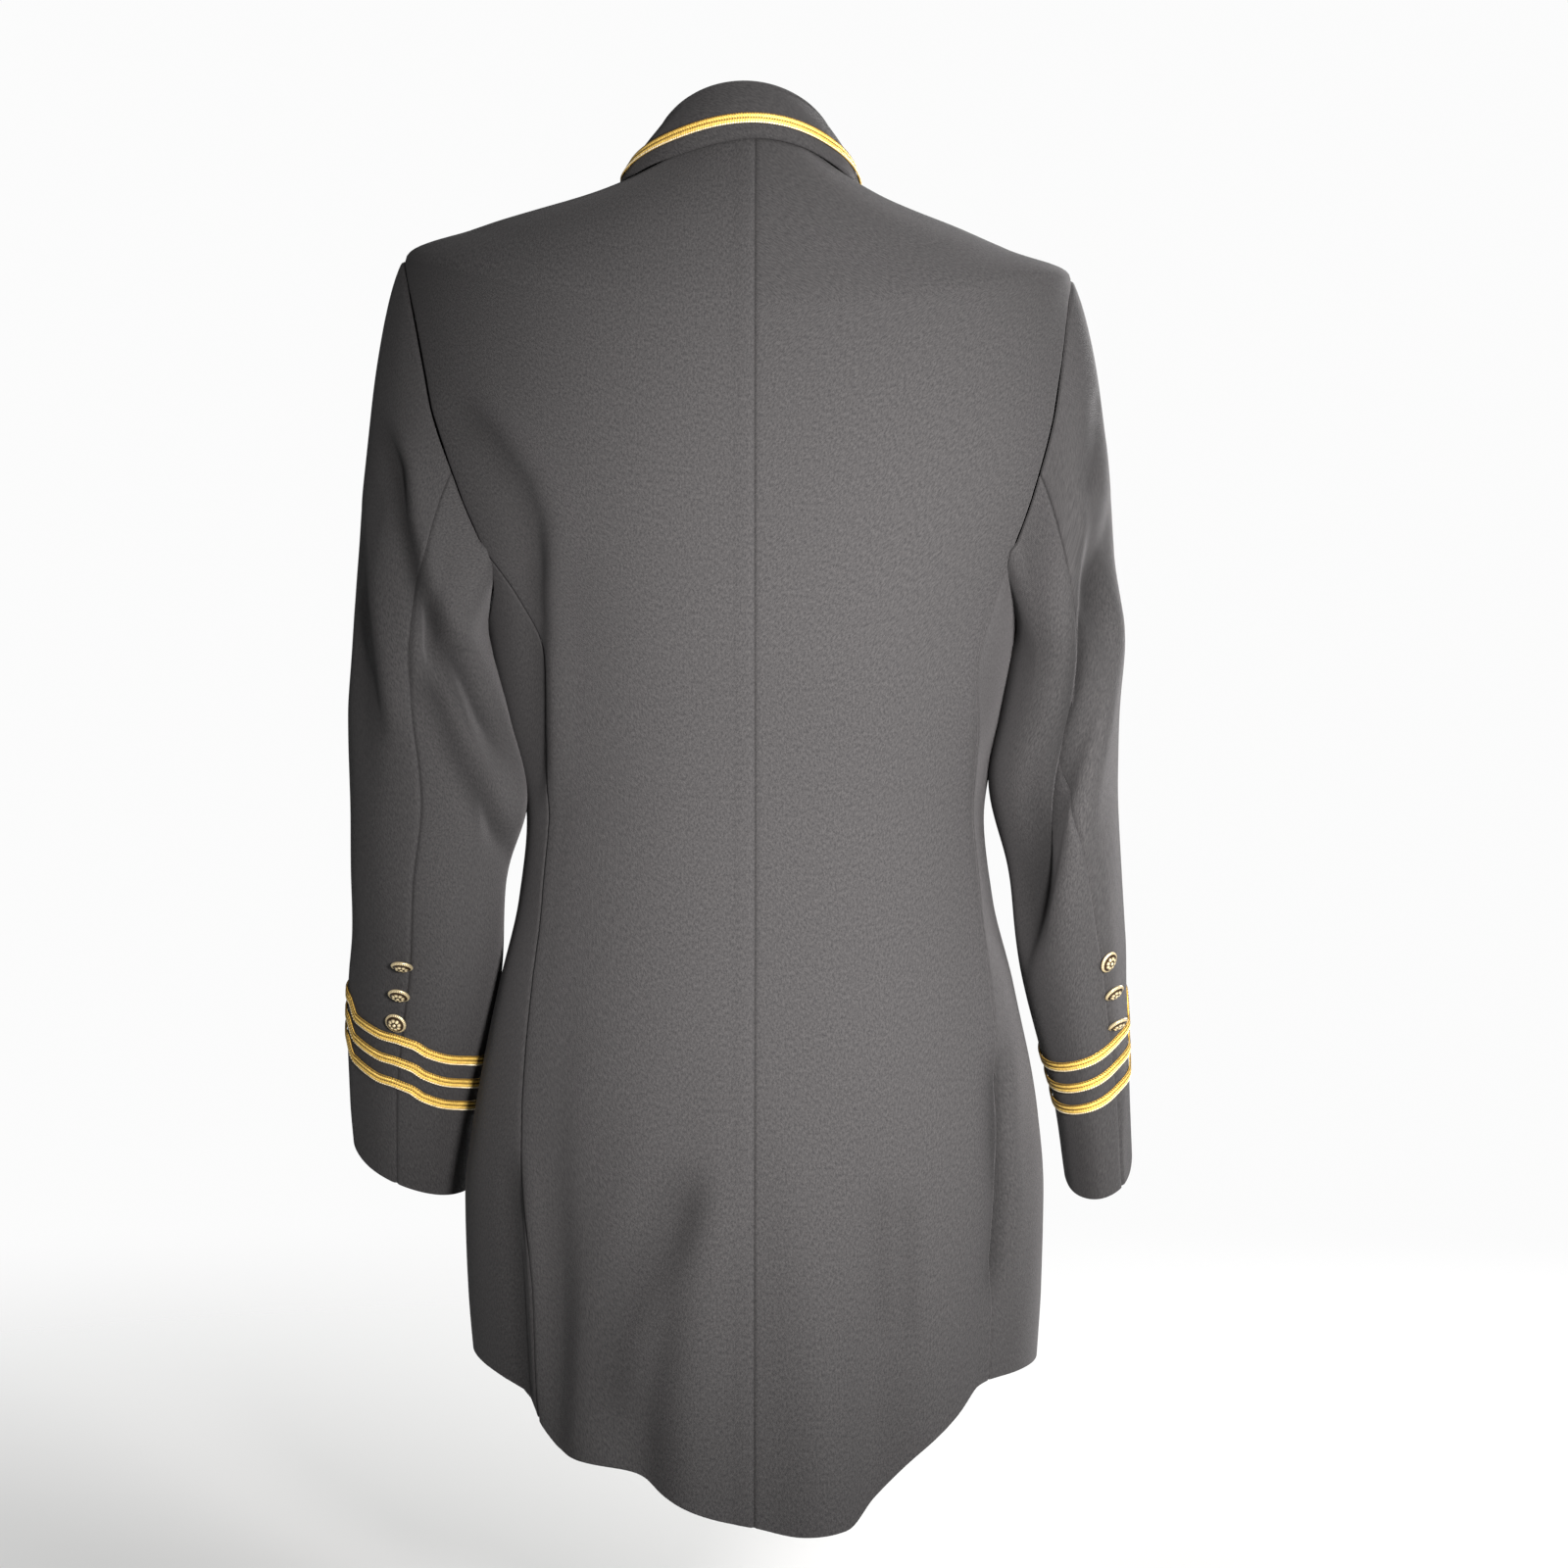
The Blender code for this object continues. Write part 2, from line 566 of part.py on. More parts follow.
def side_panel(side, look):
    name = "side_left" if side > 0 else "side_right"
    rows = spread(0.0, 1.0, LOW_ROWS)
    shares = spread(0.0, 1.0, SIDE_COLUMNS)

    def point(share, row):
        share = share if side > 0 else 1.0 - share
        start = seam_angle(SIDE_BACK_SEAM, side, NOTCH_HEIGHT)
        end = seam_angle(SIDE_FRONT_SEAM, side, NOTCH_HEIGHT)
        top = underarm_height(side, mix(start, end, share))
        low_start = seam_angle(SIDE_BACK_SEAM, side, HEM_LEVEL)
        low_end = seam_angle(SIDE_FRONT_SEAM, side, HEM_LEVEL)
        height = mix(top, hem_height(side * mix(low_start, low_end, share)), row)
        first = seam_angle(SIDE_BACK_SEAM, side, height) + SEAM_GAP_ANGLE
        last = seam_angle(SIDE_FRONT_SEAM, side, height) - SEAM_GAP_ANGLE
        return body_point(side * mix(first, last, share), height)

    return sheet(name, shares, rows, point, look)


def front_point(side, angle, height):
    """Front surface, with the wearer's right front laid over the left one."""
    point = body_point(angle, height)
    if side < 0:
        over = ease(*RIGHT_OVER_ANGLES, abs(angle)) * ease(RIGHT_OVER_START, RIGHT_OVER_FULL, height)
        point += body_normal(angle, height) * over * (CLOTH + 2.0 * LAY_GAP)
    return point


def front_panel(side, look):
    name = "front_left" if side > 0 else "front_right"
    shares = spread(0.0, 1.0, FRONT_COLUMNS)

    def point(share, row):
        share = share if side > 0 else 1.0 - share
        low_angle = mix(front_edge(side, HEM_LEVEL), centre_edge(side, HEM_LEVEL), share)
        low = hem_height(side * min(180.0, abs(low_angle)))
        from_corner = abs(centre_edge(side, HEM_LEVEL) - low_angle)
        inside = min(1.0, math.radians(from_corner) * FRONT_REACH / FRONT_CORNER)
        low += FRONT_CORNER * (1.0 - math.sqrt(1.0 - (1.0 - inside) ** 2))
        height = row_height(row, low)
        angle = mix(front_edge(side, height), centre_edge(side, height), share)
        return front_point(side, angle, height)

    return sheet(name, shares, body_rows(), point, look)


def lapel(side, look):
    name = "lapel_left" if side > 0 else "lapel_right"
    rows = spread(LAPEL_TOP, LAPEL_LOW[side], LAPEL_ROWS)
    shares = spread(0.0, 1.0, LAPEL_COLUMNS)

    def point(share, height):
        share = share if side < 0 else 1.0 - share
        roll = seam_angle(ROLL_LINE, side, height) + 1.0
        angle = side * mix(roll, seam_angle(LAPEL_EDGE, side, height), share)
        crown = LAPEL_CROWN * math.sin(math.pi * share) * ease(LAPEL_LOW[side], LAPEL_CROWN_FULL, height)
        lift = CLOTH + LAY_GAP * 2.0 + crown
        return front_point(side, angle, height) + body_normal(angle, height) * lift

    return sheet(name, shares, rows, point, look)


def sleeve_seams(side, down):
    height = mix(SLEEVE_BACK_SEAM[0].height, SLEEVE_BACK_SEAM[-1].height, down / 2.0)
    back = seam_angle(SLEEVE_BACK_SEAM, side, height)
    front = seam_angle(SLEEVE_FRONT_SEAM, side, height)
    return back, front


def sleeve_angles(side, down, upper):
    """Angles round a sleeve of the corners of its upper or under piece."""
    back, front = sleeve_seams(side, down)
    gap = gap_angle(SLEEVE_REACH)
    if upper:
        first = spread(back + gap, 90.0, CAP_BACK_COLUMNS)
        return first + spread(90.0, front - gap, CAP_FRONT_COLUMNS)[1:]
    return spread(front + gap - 360.0, back - gap, UNDER_COLUMNS)


def sleeve_piece(side, upper, look):
    words = "upper_sleeve" if upper else "under_sleeve"
    name = words + ("_left" if side > 0 else "_right")
    count = len(sleeve_angles(side, 0.0, upper))
    columns = list(range(count))
    rows = spread(0.0, 2.0, SLEEVE_ROWS)

    def point(column, down):
        column = column if side > 0 else count - 1 - column
        return sleeve_point(side, sleeve_angles(side, down, upper)[column], down)

    return sheet(name, columns, rows, point, look)


def sleeve_normal(side, angle, down):
    def surface(a, b):
        return sleeve_point(side, a, b)

    normal = normal_of(surface, angle, down, 2.0, 0.01)
    outward = Vector((side * math.sin(math.radians(angle)), math.cos(math.radians(angle)), 0.0))
    return normal if normal.dot(outward) > 0.0 else -normal


def ring_angles(side, down):
    """Angles of every corner round a sleeve, so that a braid follows its flat faces."""
    under = sleeve_angles(side, down, False)
    upper = sleeve_angles(side, down, True)
    return under + upper + [under[0] + 360.0]


def cuff_braid(side, number, above_hem, look):
    name = "cuff_braid_" + ("left" if side > 0 else "right") + "_" + str(number)
    top = sleeve_down(side, above_hem + BRAID_WIDTH / 2.0)
    low = sleeve_down(side, above_hem - BRAID_WIDTH / 2.0)
    columns = list(range(len(ring_angles(side, top))))

    def point(column, down):
        column = column if side > 0 else len(columns) - 1 - column
        angle = ring_angles(side, down)[column]
        return sleeve_point(side, angle, down) + sleeve_normal(side, angle, down) * (CLOTH + LAY_GAP)

    return sheet(name, columns, [top, low], point, look, BRAID_THICK, closed=True)


def button(name, radius, height, place, normal, look):
    """Plain domed button: a turned profile stood on a cloth point."""
    rim = height * 0.38
    profile = [(0.0, height), (radius * 0.45, height * 0.93), (radius * 0.8, height * 0.68)]
    profile += [(radius, rim), (radius, rim * 0.4), (radius * 0.75, 0.0), (0.0, 0.0)]
    mesh = bpy.data.meshes.new(name)
    outline = bmesh.new()
    corners = [outline.verts.new((across, 0.0, up)) for across, up in profile]
    for first, second in zip(corners, corners[1:]):
        outline.edges.new((first, second))
    outline.to_mesh(mesh)
    outline.free()
    mesh.materials.append(look)
    piece = bpy.data.objects.new(name, mesh)
    JACKET.objects.link(piece)
    turned = piece.modifiers.new("Turned profile", "SCREW")
    turned.angle = math.tau
    turned.steps = 12
    turned.render_steps = 12
    turned.use_merge_vertices = True
    turned.merge_threshold = 0.00002
    turn = normal.to_track_quat("Z", "Y").to_matrix().to_4x4()
    piece.matrix_world = Matrix.Translation(place + normal * (CLOTH + LAY_GAP)) @ turn
    return piece


def cuff_buttons(side, look):
    word = "left" if side > 0 else "right"
    for number, above_hem in enumerate(BUTTON_ABOVE_HEM, start=1):
        down = sleeve_down(side, above_hem)
        angle = sleeve_seams(side, down)[0] + CUFF_BUTTON_FROM_SEAM
        place = sleeve_point(side, angle, down)
        normal = sleeve_normal(side, angle, down)
        button("cuff_button_" + word + "_" + str(number), BUTTON_RADIUS, BUTTON_HEIGHT, place, normal, look)


def front_buttons(look):
    for number, height in enumerate(FRONT_BUTTON_HEIGHTS, start=1):
        place = front_point(-1, -180.0, height)
        normal = body_normal(-180.0, height)
        name = "front_button_" + str(number)
        button(name, FRONT_BUTTON_RADIUS, FRONT_BUTTON_HEIGHT, place, normal, look)


def collar(look):
    columns = spread(-COLLAR_END, COLLAR_END, COLLAR_COLUMNS)
    return sheet("collar", columns, COLLAR_ROWS, collar_point, look)


def collar_braid(look):
    columns = spread(-COLLAR_END, COLLAR_END, COLLAR_COLUMNS)
    columns[0] += BRAID_END
    columns[-1] -= BRAID_END
    fall = (collar_point(0.0, 2.0) - collar_point(0.0, FOLD_END)).length
    per_metre = (2.0 - FOLD_END) / fall
    middle = 2.0 - COLLAR_BRAID_FROM_EDGE * per_metre
    half = BRAID_WIDTH / 2.0 * per_metre

    def point(angle, across):
        normal = normal_of(collar_point, angle, across, 1.0, 0.01)
        outward = Vector((math.sin(math.radians(angle)), math.cos(math.radians(angle)), 0.5))
        normal = normal if normal.dot(outward) > 0.0 else -normal
        return collar_point(angle, across) + normal * (CLOTH + 1.5 * LAY_GAP)

    return sheet("collar_braid", columns, [middle - half, middle + half], point, look, BRAID_THICK)


for old in list(bpy.data.objects):
    bpy.data.objects.remove(old, do_unlink=True)

JACKET = bpy.data.collections.new("Uniform jacket")
bpy.context.scene.collection.children.link(JACKET)

cloth = finish_material("Dark wool", CLOTH_COLOUR, 0.85, 0.0)
braid = finish_material("Gold braid", GOLD_BRAID_COLOUR, 0.55, 0.3)
metal = finish_material("Gold metal", GOLD_METAL_COLOUR, 0.3, 1.0)

for wearer_side in (1, -1):
    back_panel(wearer_side, cloth)
    side_panel(wearer_side, cloth)
    front_panel(wearer_side, cloth)
    lapel(wearer_side, cloth)
    sleeve_piece(wearer_side, True, cloth)
    sleeve_piece(wearer_side, False, cloth)
    for braid_number, distance in enumerate(BRAID_ABOVE_HEM, start=1):
        cuff_braid(wearer_side, braid_number, distance, braid)
    cuff_buttons(wearer_side, metal)
collar(cloth)
collar_braid(braid)
front_buttons(metal)
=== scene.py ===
"""Looks of a long fitted uniform jacket, filled out as if worn, seen from the back.

Metres, +Z up. The wearer would face -Y and the wearer's left arm is on +X. Each cloth
piece is a closed wall whose inner side lies on the same surface as its solid's, with
seams, creases and a nap added to its outer side.
"""

import math
from collections import namedtuple

import bmesh
import bpy
import numpy as np
from bpy.props import FloatProperty, FloatVectorProperty, IntProperty, PointerProperty
from bpy.types import Operator, Panel, PropertyGroup
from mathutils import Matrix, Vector, noise


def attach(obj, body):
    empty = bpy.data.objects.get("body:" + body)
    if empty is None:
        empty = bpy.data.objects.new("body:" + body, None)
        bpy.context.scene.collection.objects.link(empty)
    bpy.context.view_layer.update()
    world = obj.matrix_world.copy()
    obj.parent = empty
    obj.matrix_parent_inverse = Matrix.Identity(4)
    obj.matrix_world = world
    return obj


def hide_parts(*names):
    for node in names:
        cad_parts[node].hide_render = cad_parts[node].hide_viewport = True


bl_info = {
    "name": "Uniform jacket",
    "version": (1, 0, 0),
    "blender": (4, 5, 0),
    "location": "View3D > Sidebar > Jacket",
    "description": "Builds the cloth, braid and buttons of a uniform jacket and its studio",
    "category": "Object",
}

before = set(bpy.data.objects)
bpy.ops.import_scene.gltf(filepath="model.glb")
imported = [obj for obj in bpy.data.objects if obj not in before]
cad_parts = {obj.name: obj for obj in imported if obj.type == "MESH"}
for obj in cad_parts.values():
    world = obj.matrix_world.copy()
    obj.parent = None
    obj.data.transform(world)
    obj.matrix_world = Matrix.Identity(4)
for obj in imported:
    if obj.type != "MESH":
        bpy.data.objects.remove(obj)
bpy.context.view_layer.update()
LEFT, RIGHT = 1, -1
SIDE_WORDS = {LEFT: "left", RIGHT: "right"}

# Sizes of the cut, the same as those of the solids but for the last rings of the sleeves
# and the fold of the collar
CLOTH = 0.002
LAY_GAP = 0.0005
UNDERARM_GAP = 0.0022
NECK_HEIGHT = 0.028
TIP_HEIGHT = -0.090
NOTCH_HEIGHT = -0.235
UNDERARM_DROP = 0.045
HEM_LEVEL = -0.75
FOLDS_FULL = -0.77
FRONT_OVERLAP = 0.018
FRONT_CORNER = 0.05
FRONT_REACH = 0.115
BREAK_HEIGHT = -0.325
OVERLAP_START = -0.275
RIGHT_OVER_LEVELS = (-0.18, -0.265)
RIGHT_OVER_ANGLES = (156.0, 166.0)
ARMPIT_RING = -0.300

# One row for each level of the body. height is the level at the centre back,
# the z columns are that level's height at the sides and the centre front.
Level = namedtuple("Level", "height side_left side_right front_z half_left half_right back front square")
LEVELS = [
    Level(0.028, 0.000, -0.008, -0.050, 0.066, 0.055, 0.058, 0.052, 2.0),
    Level(-0.030, -0.0167, -0.0285, -0.085, 0.133, 0.122, 0.085, 0.074, 2.1),
    Level(-0.060, -0.0310, -0.0450, -0.104, 0.180, 0.163, 0.093, 0.083, 2.15),
    Level(-0.090, -0.0480, -0.0600, -0.125, 0.2205, 0.1985, 0.100, 0.092, 2.2),
    Level(-0.150, -0.135, -0.140, -0.172, 0.220, 0.199, 0.107, 0.106, 2.3),
    Level(-0.200, -0.195, -0.197, -0.212, 0.204, 0.190, 0.109, 0.116, 2.35),
    Level(-0.262, -0.262, -0.262, -0.264, 0.174, 0.169, 0.107, 0.122, 2.35),
    Level(-0.300, -0.300, -0.300, -0.300, 0.1665, 0.162, 0.103, 0.119, 2.3),
    Level(-0.335, -0.335, -0.335, -0.335, 0.1585, 0.1555, 0.096, 0.113, 2.3),
    Level(-0.365, -0.365, -0.365, -0.365, 0.1505, 0.1485, 0.091, 0.107, 2.3),
    Level(-0.400, -0.400, -0.400, -0.400, 0.1445, 0.1443, 0.088, 0.103, 2.25),
    Level(-0.450, -0.450, -0.450, -0.450, 0.1495, 0.1495, 0.092, 0.104, 2.25),
    Level(-0.505, -0.505, -0.505, -0.505, 0.162, 0.163, 0.103, 0.109, 2.25),
    Level(-0.585, -0.585, -0.585, -0.585, 0.177, 0.1785, 0.117, 0.114, 2.25),
    Level(-0.635, -0.635, -0.635, -0.635, 0.183, 0.182, 0.122, 0.117, 2.25),
    Level(-0.695, -0.695, -0.695, -0.695, 0.181, 0.180, 0.126, 0.119, 2.25),
    Level(-0.745, -0.745, -0.745, -0.745, 0.1765, 0.1765, 0.1285, 0.120, 2.25),
    Level(-0.830, -0.830, -0.830, -0.830, 0.170, 0.170, 0.130, 0.121, 2.25),
]

# The hem's height at each angle. Angles run from the centre back, + to the wearer's left.
Hem = namedtuple("Hem", "angle height")
HEMS = [
    Hem(-180, -0.725), Hem(-140, -0.730), Hem(-110, -0.731), Hem(-83, -0.736), Hem(-66, -0.738),
    Hem(-58, -0.741), Hem(-50, -0.756), Hem(-42, -0.776), Hem(-33, -0.802), Hem(-24, -0.820),
    Hem(-13, -0.822), Hem(0, -0.817), Hem(9, -0.813), Hem(24, -0.799), Hem(33, -0.788),
    Hem(41, -0.782), Hem(50, -0.776), Hem(56, -0.757), Hem(60, -0.745), Hem(68, -0.737),
    Hem(83, -0.731), Hem(110, -0.728), Hem(140, -0.730), Hem(180, -0.725),
]

# Soft folds of the skirt. A fold starts at top and grows to its depth at the hem,
# + for a flare that stands out and - for a trough.
Fold = namedtuple("Fold", "angle_top angle_hem top width depth")
FOLDS = [
    Fold(8, 17, -0.50, 8, 0.005),
    Fold(14, 31, -0.58, 8, -0.010),
    Fold(30, 43, -0.55, 8, 0.008),
    Fold(57, 49, -0.42, 5, -0.006),
    Fold(-8, -16, -0.52, 9, 0.006),
    Fold(-36, -32, -0.56, 8, -0.007),
    Fold(-50, -46, -0.56, 8, 0.005),
    Fold(-66, -60, -0.45, 6, -0.004),
    Fold(104, 104, -0.50, 9, -0.004),
    Fold(-104, -104, -0.50, 9, -0.004),
    Fold(135, 138, -0.55, 10, 0.004),
    Fold(-135, -138, -0.55, 10, 0.004),
]

# Seams of the body as angles at each height.
Seam = namedtuple("Seam", "height left right")
SIDE_BACK_SEAM = [
    Seam(-0.235, 71.0, 70.0), Seam(-0.270, 65.0, 67.5), Seam(-0.300, 62.0, 66.0),
    Seam(-0.360, 68.0, 73.0), Seam(-0.420, 70.5, 76.0), Seam(-0.510, 66.0, 70.0),
    Seam(-0.600, 61.0, 65.5), Seam(-0.690, 56.0, 62.0), Seam(-0.830, 54.0, 60.0),
]
SIDE_FRONT_SEAM = [
    Seam(-0.235, 110.0, 110.0), Seam(-0.430, 113.0, 113.0), Seam(-0.830, 109.0, 109.0),
]
BACK_ARMHOLE = [
    Seam(-0.090, 89.0, 89.0), Seam(-0.105, 84.0, 84.0), Seam(-0.125, 79.5, 80.0),
    Seam(-0.150, 76.0, 76.5), Seam(-0.190, 73.0, 73.0), Seam(-0.235, 71.0, 70.0),
]
FRONT_ARMHOLE = [
    Seam(-0.090, 91.0, 91.0), Seam(-0.105, 97.0, 97.0), Seam(-0.125, 101.5, 101.5),
    Seam(-0.150, 105.5, 105.5), Seam(-0.190, 109.0, 109.0), Seam(-0.235, 110.0, 110.0),
]
ROLL_LINE = [
    Seam(0.028, 118.0, 118.0), Seam(-0.030, 131.0, 131.0), Seam(-0.090, 143.0, 143.0),
    Seam(-0.150, 153.0, 153.0), Seam(-0.200, 160.5, 160.5), Seam(-0.262, 170.0, 170.0),
    Seam(-0.325, 180.0, 180.0),
]
LAPEL_EDGE = [
    Seam(-0.040, 113.0, 113.0), Seam(-0.060, 116.0, 116.0), Seam(-0.120, 127.0, 127.0),
    Seam(-0.200, 145.0, 145.0), Seam(-0.280, 165.0, 165.0), Seam(-0.322, 177.0, 177.0),
]
LAPEL_TOP = -0.044
LAPEL_LOW = {LEFT: -0.290, RIGHT: -0.321}
LAPEL_CROWN = 0.002
LAPEL_CROWN_FULL = -0.20

# One row for each ring of a sleeve. rise_front and rise_out are slopes that lift
# the ring's front and outer side, because the arm bends forwards and outwards.
Ring = namedtuple("Ring", "height across along half_across half_along rise_front rise_out")
SLEEVE_RINGS = {
    LEFT: [
        Ring(-0.300, 0.2105, 0.012, 0.0420, 0.070, 0.00, 0.00),
        Ring(-0.335, 0.2065, 0.020, 0.0475, 0.067, 0.00, 0.02),
        Ring(-0.389, 0.2005, 0.016, 0.0535, 0.059, 0.03, 0.05),
        Ring(-0.437, 0.2060, 0.006, 0.0490, 0.056, 0.08, 0.12),
        Ring(-0.481, 0.2080, -0.008, 0.0475, 0.053, 0.13, 0.22),
        Ring(-0.525, 0.2145, -0.022, 0.0452, 0.049, 0.16, 0.36),
        Ring(-0.570, 0.2203, -0.038, 0.0422, 0.046, 0.19, 0.44),
        Ring(-0.622, 0.2223, -0.053, 0.0387, 0.044, 0.28, 0.38),
    ],
    RIGHT: [
        Ring(-0.300, 0.1965, 0.012, 0.0320, 0.074, 0.00, 0.00),
        Ring(-0.335, 0.1920, 0.020, 0.0345, 0.070, 0.00, 0.02),
        Ring(-0.375, 0.1885, 0.018, 0.0380, 0.065, 0.02, 0.06),
        Ring(-0.437, 0.1955, 0.006, 0.0348, 0.062, 0.06, 0.14),
        Ring(-0.481, 0.2005, -0.009, 0.0332, 0.059, 0.09, 0.28),
        Ring(-0.525, 0.2078, -0.024, 0.0282, 0.056, 0.12, 0.54),
        Ring(-0.570, 0.2162, -0.041, 0.0238, 0.053, 0.15, 0.62),
        Ring(-0.626, 0.2225, -0.058, 0.0215, 0.051, 0.28, 0.38),
    ],
}
# Creases of a sleeve that its solid has: the angle at two heights, width and depth.
SleeveFold = namedtuple("SleeveFold", "angle_top angle_low top low width depth")
SLEEVE_FOLDS = {
    LEFT: [
        SleeveFold(22, -34, -0.190, -0.370, 10, -0.004),
        SleeveFold(62, 40, -0.230, -0.390, 12, -0.003),
        SleeveFold(-30, -62, -0.330, -0.420, 12, -0.003),
    ],
    RIGHT: [
        SleeveFold(70, -40, -0.235, -0.480, 11, -0.005),
        SleeveFold(62, 40, -0.120, -0.240, 12, -0.003),
        SleeveFold(-20, -50, -0.330, -0.430, 12, -0.002),
    ],
}
SLEEVE_BACK_SEAM = [
    Seam(-0.10, 0.0, 0.0), Seam(-0.35, 0.0, 0.0), Seam(-0.45, 3.0, 8.0),
    Seam(-0.54, 7.0, 26.0), Seam(-0.64, 9.0, 30.0),
]
SLEEVE_FRONT_SEAM = [
    Seam(-0.10, 219.6, 219.6), Seam(-0.30, 216.0, 216.0), Seam(-0.64, 210.0, 210.0),
]
CUFF_RISE = 0.008
CUFF_RISE_ANGLE = 120.0
CUFF_RISE_WIDTH = 45.0
CUFF_RISE_LEVELS = (-0.50, -0.60)
NOTCH_SHARE = 0.36
SLEEVE_DROP = 0.25
LEAST_DROP = 0.02
LEAVE_OUT = 0.060
LEAVE_BACK = 0.035
LEAVE_DOWN = 0.50
ARRIVE_OUT = 0.010
CUFF_BUTTON_FROM_SEAM = 4.0
BRAID_ABOVE_HEM = (0.091, 0.077, 0.063)
BUTTON_ABOVE_HEM = {LEFT: (0.139, 0.120, 0.101), RIGHT: (0.139, 0.1185, 0.098)}
# How far each cuff button hangs over from its shank, from the top one down
BUTTON_TILTS = {LEFT: (48.0, 38.0, 14.0), RIGHT: (12.0, 38.0, 50.0)}
# The cuff's braids dip along the back of the arm and step up over the pressed crease.
Wave = namedtuple("Wave", "angle rise")
BRAID_WAVES = {
    LEFT: [
        Wave(-180, 0.002), Wave(-90, -0.0045), Wave(-50, -0.0032), Wave(-30, -0.0038),
        Wave(-15, -0.0030), Wave(-3, -0.0006), Wave(8, -0.0008), Wave(26, -0.0028),
        Wave(52, -0.0025), Wave(64, 0.007), Wave(95, 0.009), Wave(180, 0.002),
    ],
    RIGHT: [
        Wave(-180, 0.002), Wave(-90, -0.003), Wave(-31, -0.006), Wave(0, -0.007),
        Wave(34, -0.006), Wave(70, -0.005), Wave(84, 0.010), Wave(105, 0.012), Wave(180, 0.002),
    ],
}

COLLAR_END = 126.0
COLLAR_SHIFT = 0.0065
FOLD_HALF = 0.0550
FOLD_DEPTH = 0.060
FOLD_SIDE = 0.0145
FOLD_LIFT = 0.0345
FOLD_ROUND = 0.0016
FOLD_BACK = 0.003
FOLD_FRONT_DROP = 1.1
FALL_BULGE = 0.0035
FOLD_START = 0.9
FOLD_END = 1.1
FallEdge = namedtuple("FallEdge", "angle level clear")
FALL_EDGE = [
    FallEdge(-130, -0.020, 0.0020), FallEdge(-90, 0.018, 0.0010), FallEdge(-45, 0.015, 0.0010),
    FallEdge(0, 0.015, 0.0030), FallEdge(45, 0.012, 0.0010), FallEdge(90, 0.009, 0.0010),
    FallEdge(130, -0.022, 0.0020),
]
COLLAR_BRAID_FROM_EDGE = 0.0115
BRAID_END = 1.5
FRONT_BUTTON_HEIGHTS = (-0.345, -0.425, -0.505)

# What the looks add to the solids' sizes
EDGE_STEPS = np.array([0.0, 0.0004, 0.0009, 0.0016, 0.0027])
BODY_REACH = 0.13
SLEEVE_REACH = 0.045
ROW_STEP = 0.0032
COLUMN_STEP = 0.0031
BRAID_LIFT = 0.0004
UPWARD = np.array([0.0, 0.0, 1.0])
FLOOR_RADIUS = 3.0
CAMERA_PLACE = (-0.018, 1.95, -0.378)
CAMERA_LENS = 70.76
SPOT_PLACE = (-0.32, 1.38, -0.29)
SPOT_AIM = (-0.078, 0.10, -0.365)
SPOT_ANGLE = 50.0
SPOT_NARROW = 0.64
SPOT_COLOUR = (1.0, 0.962, 0.958)
SPOT_SOFTNESS = 0.12
KEY_PLACE = (-1.05, 1.00, 0.10)
KEY_AIM = (-0.04, 0.0, -0.35)
KEY_WIDTH = 0.9
FRONT_PLACE = (-1.5, -2.3, 0.9)
FRONT_AIM = (0.0, 0.0, -0.4)
FRONT_WIDTH = 1.4
SENSOR_WIDTH = 36.0
FADE_START = 0.10
FADE_END = 0.80
FLOOR_SIDES = 96
FLOOR_COLOUR = (0.82, 0.82, 0.81, 1.0)
FLOOR_ROUGHNESS = 0.7


class CLOTH_PG_sizes(PropertyGroup):
    """Sizes of the cloth's surface."""

    groove: FloatProperty(
        name="Seam groove", description="Depth of the valley along a seam",
        default=0.0013, min=0.0, max=0.0018, unit="LENGTH")
    groove_width: FloatProperty(
        name="Groove width", description="Half width of the valley along a seam",
        default=0.0011, unit="LENGTH")
    ridge: FloatProperty(
        name="Seam ridge", description="Height of the turned allowance beside a seam",
        default=0.0005, unit="LENGTH")
    pucker: FloatProperty(
        name="Seam pucker", description="Height of the small gathers along a seam",
        default=0.00018, unit="LENGTH")
    ripple: FloatProperty(
        name="Ripple", description="Height of the soft unevenness of the hanging cloth",
        default=0.0009, unit="LENGTH")
    arm_rest: FloatProperty(
        name="Arm rest", description="Swell of the sleeve where it rests against the body",
        default=0.0040, unit="LENGTH")
    crease: FloatProperty(
        name="Creases", description="Strength of the placed creases", default=1.0, min=0.0, max=2.0)


